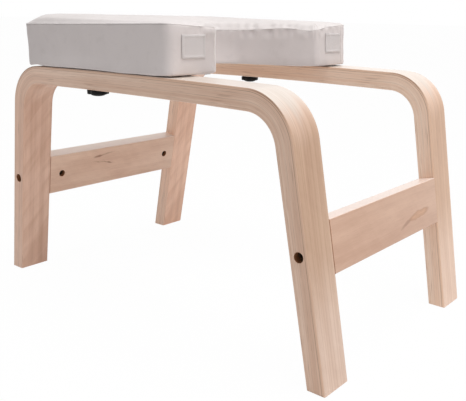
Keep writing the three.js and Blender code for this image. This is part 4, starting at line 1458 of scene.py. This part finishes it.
tacks = bmesh.new()
tack_ways = []
for k in range(tack_count):
    height = hem_z + bottom_round + tack_low + k * tack_step
    spot, way_out = on_end_face(cover_surface, tack_y, height)
    ends = [tacks.verts.new(spot), tacks.verts.new(spot + Vector((0, tack_line, 0)))]
    tacks.edges.new(ends)
    tack_ways += [way_out, way_out]
bar_tack = stitched("near_arm_bar_tack", tacks, tack_ways, tack_spacing, tack_thread, thread)
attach(bar_tack, "stool")

staple_line = [Vector((p.x, p.y, hem_z + staple_depth)) for p in cushion_outline(staple_inset)]
staples = stitched("hem_staples", line_mesh(staple_line, True),
                   [Vector((0, 0, -1))] * len(staple_line), staple_spacing, staple_wire, zinc)
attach(staples, "stool")

# The labels: a blank woven patch sewn to the end of each arm, with a raised folded border and a row
# of thread just inside its edge. They carry no words and no mark.
label_border = 0.0035
label_ridge = 0.0005
label_lift = 0.0003
label_thickness = 0.0008
label_steps = (40, 28)
label_side_stitches = 12
label_stitch_inset = 0.0022
label_stitch_spacing = 0.0026
label_thread = (0.0017, 0.0006, 0.00016)


def label_material():
    """A fine plain weave, a little darker between its threads."""
    material, tree, shader = new_material("woven_label")
    place = object_place(tree)
    warp = add_node(tree, "ShaderNodeTexWave", {"Vector": place, "Scale": 500.0}, bands_direction="Y")
    weft = add_node(tree, "ShaderNodeTexWave", {"Vector": place, "Scale": 500.0}, bands_direction="Z")
    weave = maths(tree, "MULTIPLY", warp.outputs["Fac"], weft.outputs["Fac"])
    colour = blended(tree, weave, shade(210, 203, 202), shade(220, 213, 211))
    surfaced(tree, shader, colour, weave, 0.75, 0.0001)
    return material


label_cloth = label_material()


def arm_label(side_name):
    """The patch, laid on the cloth of the arm's end and thickened."""
    low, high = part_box(side_name + "_arm_label")
    columns, rows = label_steps
    shape = bmesh.new()
    grid = []
    for j in range(rows + 1):
        z = low.z + (high.z - low.z) * j / rows
        line = []
        for i in range(columns + 1):
            y = low.y + (high.y - low.y) * i / columns
            edge = min(y - low.y, high.y - y, z - low.z, high.z - z)
            ridge = label_ridge * math.sin(math.pi * min(edge / label_border, 1))
            spot, _ = on_end_face(cover_surface, y, z)
            line.append(shape.verts.new((spot.x + label_lift + label_thickness + ridge, y, z)))
        grid.append(line)
    for lower, upper in zip(grid, grid[1:]):
        for i in range(columns):
            shape.faces.new((lower[i], lower[i + 1], upper[i + 1], upper[i]))
    shape.normal_update()
    piece = new_piece(side_name + "_blank_label", shape)
    wall = piece.modifiers.new("label thickness", "SOLIDIFY")
    wall.thickness = label_thickness
    wall.offset = -1.0
    settled(piece)
    piece.data.materials.append(label_cloth)
    return eased(piece, crease=60)


def label_stitches(side_name, label):
    """A row of thread just inside the label's edge, all the way round."""
    low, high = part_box(side_name + "_arm_label")
    surface = surface_of(label)
    y0, y1 = low.y + label_stitch_inset, high.y - label_stitch_inset
    z0, z1 = low.z + label_stitch_inset, high.z - label_stitch_inset
    corners = [(y0, z0), (y1, z0), (y1, z1), (y0, z1)]
    points = []
    for (ya, za), (yb, zb) in following(corners):
        for k in range(label_side_stitches):
            share = k / label_side_stitches
            points.append(on_end_face(surface, ya + (yb - ya) * share, za + (zb - za) * share)[0])
    return stitched(side_name + "_label_stitches", line_mesh(points, True), [Vector((1, 0, 0))] * len(points),
                    label_stitch_spacing, label_thread, thread)


for side_name in ("near", "far"):
    label = arm_label(side_name)
    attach(label, "stool")
    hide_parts(side_name + "_arm_label")
    stitches = label_stitches(side_name, label)
    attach(stitches, "stool")

# The clamps. Each is a moulded black hand knob with six lobes and a low dome, fixed on an M8 steel
# stud that screws into the cushion's board, with a plated washer between the knob and the hand rail.
knob_rim = 0.0058
knob_dome_radius = 0.0098
knob_dome_ledge = 0.0012
knob_dome_step = 0.0004
knob_dome_rows = 8
knob_dome_power = 1.1
knob_edge = 0.001
knob_edge_steps = 4
knob_flute = 0.0016
knob_flute_power = 1.6
knob_lobes = 6
stud_radius = 0.004
stud_pitch = 0.00125
stud_thread_depth = 0.0007
stud_flank_slope = 1.35
stud_crest = 0.15
rows_a_pitch = 6
stud_lead_in = 0.0012
stud_grip = 0.0065
washer_ease = 0.0002


def knob_plastic_material():
    """Black plastic with a fine spark texture, a little paler where hands wear it."""
    material, tree, shader = new_material("black_moulded_plastic")
    place = object_place(tree)
    spark = mottle(tree, place, (2600.0, 2600.0, 2600.0), 2.0)
    wear = mottle(tree, place, (150.0, 150.0, 150.0), 3.0)
    colour = blended(tree, spread(tree, wear, 0.5, 0.8), shade(9, 8, 9), shade(18, 17, 17))
    rough = spread(tree, wear, 0.3, 0.7, 0.42, 0.56)
    surfaced(tree, shader, colour, spark, rough, 0.00005, shine=0.2, relief=0.5)
    return material


knob_plastic = knob_plastic_material()


def clamp_knob(side_name):
    """The knob: a lobed rim with rounded edges, a low dome below and a round seat for its stud."""
    radius, low_z, high_z, place = round_part(side_name + "_clamp_knob")
    rim_bottom = high_z - knob_rim
    seat_radius, seat_z = stud_radius + pin_gap, high_z - stud_grip - pin_gap
    profile = [(0, seat_z, 0), (seat_radius, seat_z, 0), (seat_radius, high_z, 0)]
    profile += [(radius - 3 * knob_edge, high_z, 0.6)]
    edge_turns = [math.pi / 2 * k / knob_edge_steps for k in range(knob_edge_steps + 1)]
    edge = [(knob_edge * (1 - math.sin(turn)), knob_edge * (1 - math.cos(turn))) for turn in edge_turns]
    profile += [(radius - inwards, high_z - down, 1) for inwards, down in edge]
    profile += [(radius, (high_z + rim_bottom) / 2, 1)]
    profile += [(radius - inwards, rim_bottom + up, 1) for up, inwards in edge]
    dome_top = rim_bottom - knob_dome_step
    profile += [(knob_dome_radius + knob_dome_ledge, rim_bottom, 0.25), (knob_dome_radius, dome_top, 0)]
    for k in range(1, knob_dome_rows):
        turn = math.pi / 2 * k / knob_dome_rows
        reach = knob_dome_radius * math.cos(turn) ** knob_dome_power
        profile.append((reach, dome_top - (dome_top - low_z) * math.sin(turn), 0))
    profile.append((0, low_z, 0))

    def lobed(point, turn):
        """The radius, drawn in between the lobes as far as the point's own share says."""
        between = 0.5 - 0.5 * math.cos(knob_lobes * 2 * math.pi * turn)
        return point[0] - knob_flute * point[2] * between ** knob_flute_power

    steps = 24 * knob_lobes
    return new_piece(side_name + "_hand_knob", turned(profile, place, steps, radius_at=lobed))


def clamp_stud(side_name):
    """The stud, with a real thread that fades at both ends."""
    _, low_z, high_z, place = round_part(side_name + "_clamp_stud")
    rows = round((high_z - low_z) / stud_pitch * rows_a_pitch)
    profile = [(stud_radius, low_z + (high_z - low_z) * j / rows) for j in range(rows + 1)]

    def threaded(point, turn):
        """The radius, less in the thread's groove and at the stud's ends."""
        radius, z = point
        lead_in = min((high_z - z) / stud_lead_in, (z - low_z) / stud_lead_in, 1)
        off_crest = abs(2 * ((z / stud_pitch - turn) % 1) - 1)
        flank = min(max(off_crest * stud_flank_slope - stud_crest, 0), 1)
        return radius - stud_thread_depth * max(flank, 1 - lead_in)

    profile = [(0, low_z)] + profile + [(0, high_z)]
    return new_piece(side_name + "_threaded_stud", turned(profile, place, steps=20, radius_at=threaded))


def clamp_washer(side_name):
    """A flat washer with eased outer edges, loose on the stud."""
    outer, low_z, high_z, place = round_part(side_name + "_clamp_washer")
    inner = stud_radius + pin_gap
    profile = [(inner, low_z), (outer - washer_ease, low_z), (outer, low_z + washer_ease)]
    profile += [(outer, high_z - washer_ease), (outer - washer_ease, high_z), (inner, high_z)]
    return new_piece(side_name + "_plated_washer", turned(profile, place, steps=64, loop=True))


for side_name in ("near", "far"):
    for maker, node, finish, slot_name, body, crease in (
            (clamp_knob, "_clamp_knob", knob_plastic, "knob_plastic", "_clamp", 40),
            (clamp_stud, "_clamp_stud", zinc, "zinc_steel", "_clamp", 30),
            (clamp_washer, "_clamp_washer", zinc, "zinc_steel", "_loose_washer", 30)):
        piece = maker(side_name)
        piece.data.materials.append(finish)
        eased(piece, crease)
        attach(piece, side_name + body)
        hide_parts(side_name + node)

# The studio: a plain pale floor under the feet, an even pale sky, a broad soft lamp overhead, a
# fainter one beyond the open end, and the camera. Seen directly, the floor and sky are nearly white.
floor_half = 60.0
seen_white_share = 0.98
white_light = {"Color": (1, 1, 1, 1), "Strength": 1.0}
sky_level = 0.395


def seen_directly(tree):
    """1 for rays from the camera, from a gloss or through glass, 0 for the rest."""
    path = add_node(tree, "ShaderNodeLightPath").outputs
    seen = maths(tree, "MAXIMUM", path["Is Camera Ray"], path["Is Glossy Ray"])
    return maths(tree, "MAXIMUM", seen, path["Is Transmission Ray"])


def floor_material():
    """Matt and pale under the light, nearly white where it is seen."""
    material, tree, matt = new_material("pale_floor")
    feed(tree, matt.inputs, {"Base Color": (0.94, 0.94, 0.94, 1), "Roughness": 0.9,
                             "Specular IOR Level": 0.0})
    white = add_node(tree, "ShaderNodeEmission", white_light)
    share = maths(tree, "MULTIPLY", seen_directly(tree), seen_white_share)
    mixed = add_node(tree, "ShaderNodeMixShader", {0: share, 1: matt.outputs[0], 2: white.outputs[0]})
    tree.links.new(mixed.outputs[0], tree.nodes["Material Output"].inputs["Surface"])
    return material


floor_shape = bmesh.new()
bmesh.ops.create_grid(floor_shape, x_segments=1, y_segments=1, size=floor_half)
floor = new_piece("floor", floor_shape)
floor.data.materials.append(floor_material())

world = bpy.data.worlds.new("pale_sky")
bpy.context.scene.world = world
world.use_nodes = True
sky = world.node_tree
even = sky.nodes["Background"]
feed(sky, even.inputs, {"Color": (1, 1, 1, 1), "Strength": sky_level})
white = add_node(sky, "ShaderNodeBackground", white_light)
mixed = add_node(sky, "ShaderNodeMixShader", {0: seen_directly(sky), 1: even.outputs[0], 2: white.outputs[0]})
sky.links.new(mixed.outputs[0], sky.nodes["World Output"].inputs["Surface"])


def soft_lamp(name, place, size, power):
    """A broad square lamp that faces the stool."""
    lamp_data = bpy.data.lights.new(name, "AREA")
    lamp_data.size = size
    lamp_data.energy = power
    lamp = new_piece(name, lamp_data)
    lamp.location = place
    lamp.rotation_euler = (Vector((0, 0, hand_rail_top)) - place).to_track_quat("-Z", "Y").to_euler()


soft_lamp("overhead_lamp", place=Vector((0.45, 0.05, 2.0)), size=1.1, power=26.5)
soft_lamp("side_lamp", place=Vector((2.2, -0.3, 0.9)), size=1.4, power=5.6)

camera_azimuth = math.radians(39.025)
camera_elevation = math.radians(21.115)
camera_roll = math.radians(1.098)
camera_place = Vector((0.637196, -0.726859, 0.397725))
camera_data = bpy.data.cameras.new("camera")
camera_data.lens = 49.946
camera_data.sensor_width = 36.0
camera_data.shift_x = -0.03362
camera_data.shift_y = 0.14196
camera_data.clip_start = 0.01
camera = new_piece("camera", camera_data)
camera.matrix_world = Matrix.Translation(camera_place) @ Matrix.Rotation(camera_azimuth, 4, "Z")
camera.matrix_world @= Matrix.Rotation(math.pi / 2 - camera_elevation, 4, "X")
camera.matrix_world @= Matrix.Rotation(camera_roll, 4, "Z")
bpy.context.scene.camera = camera
bpy.context.scene.view_settings.view_transform = "Standard"
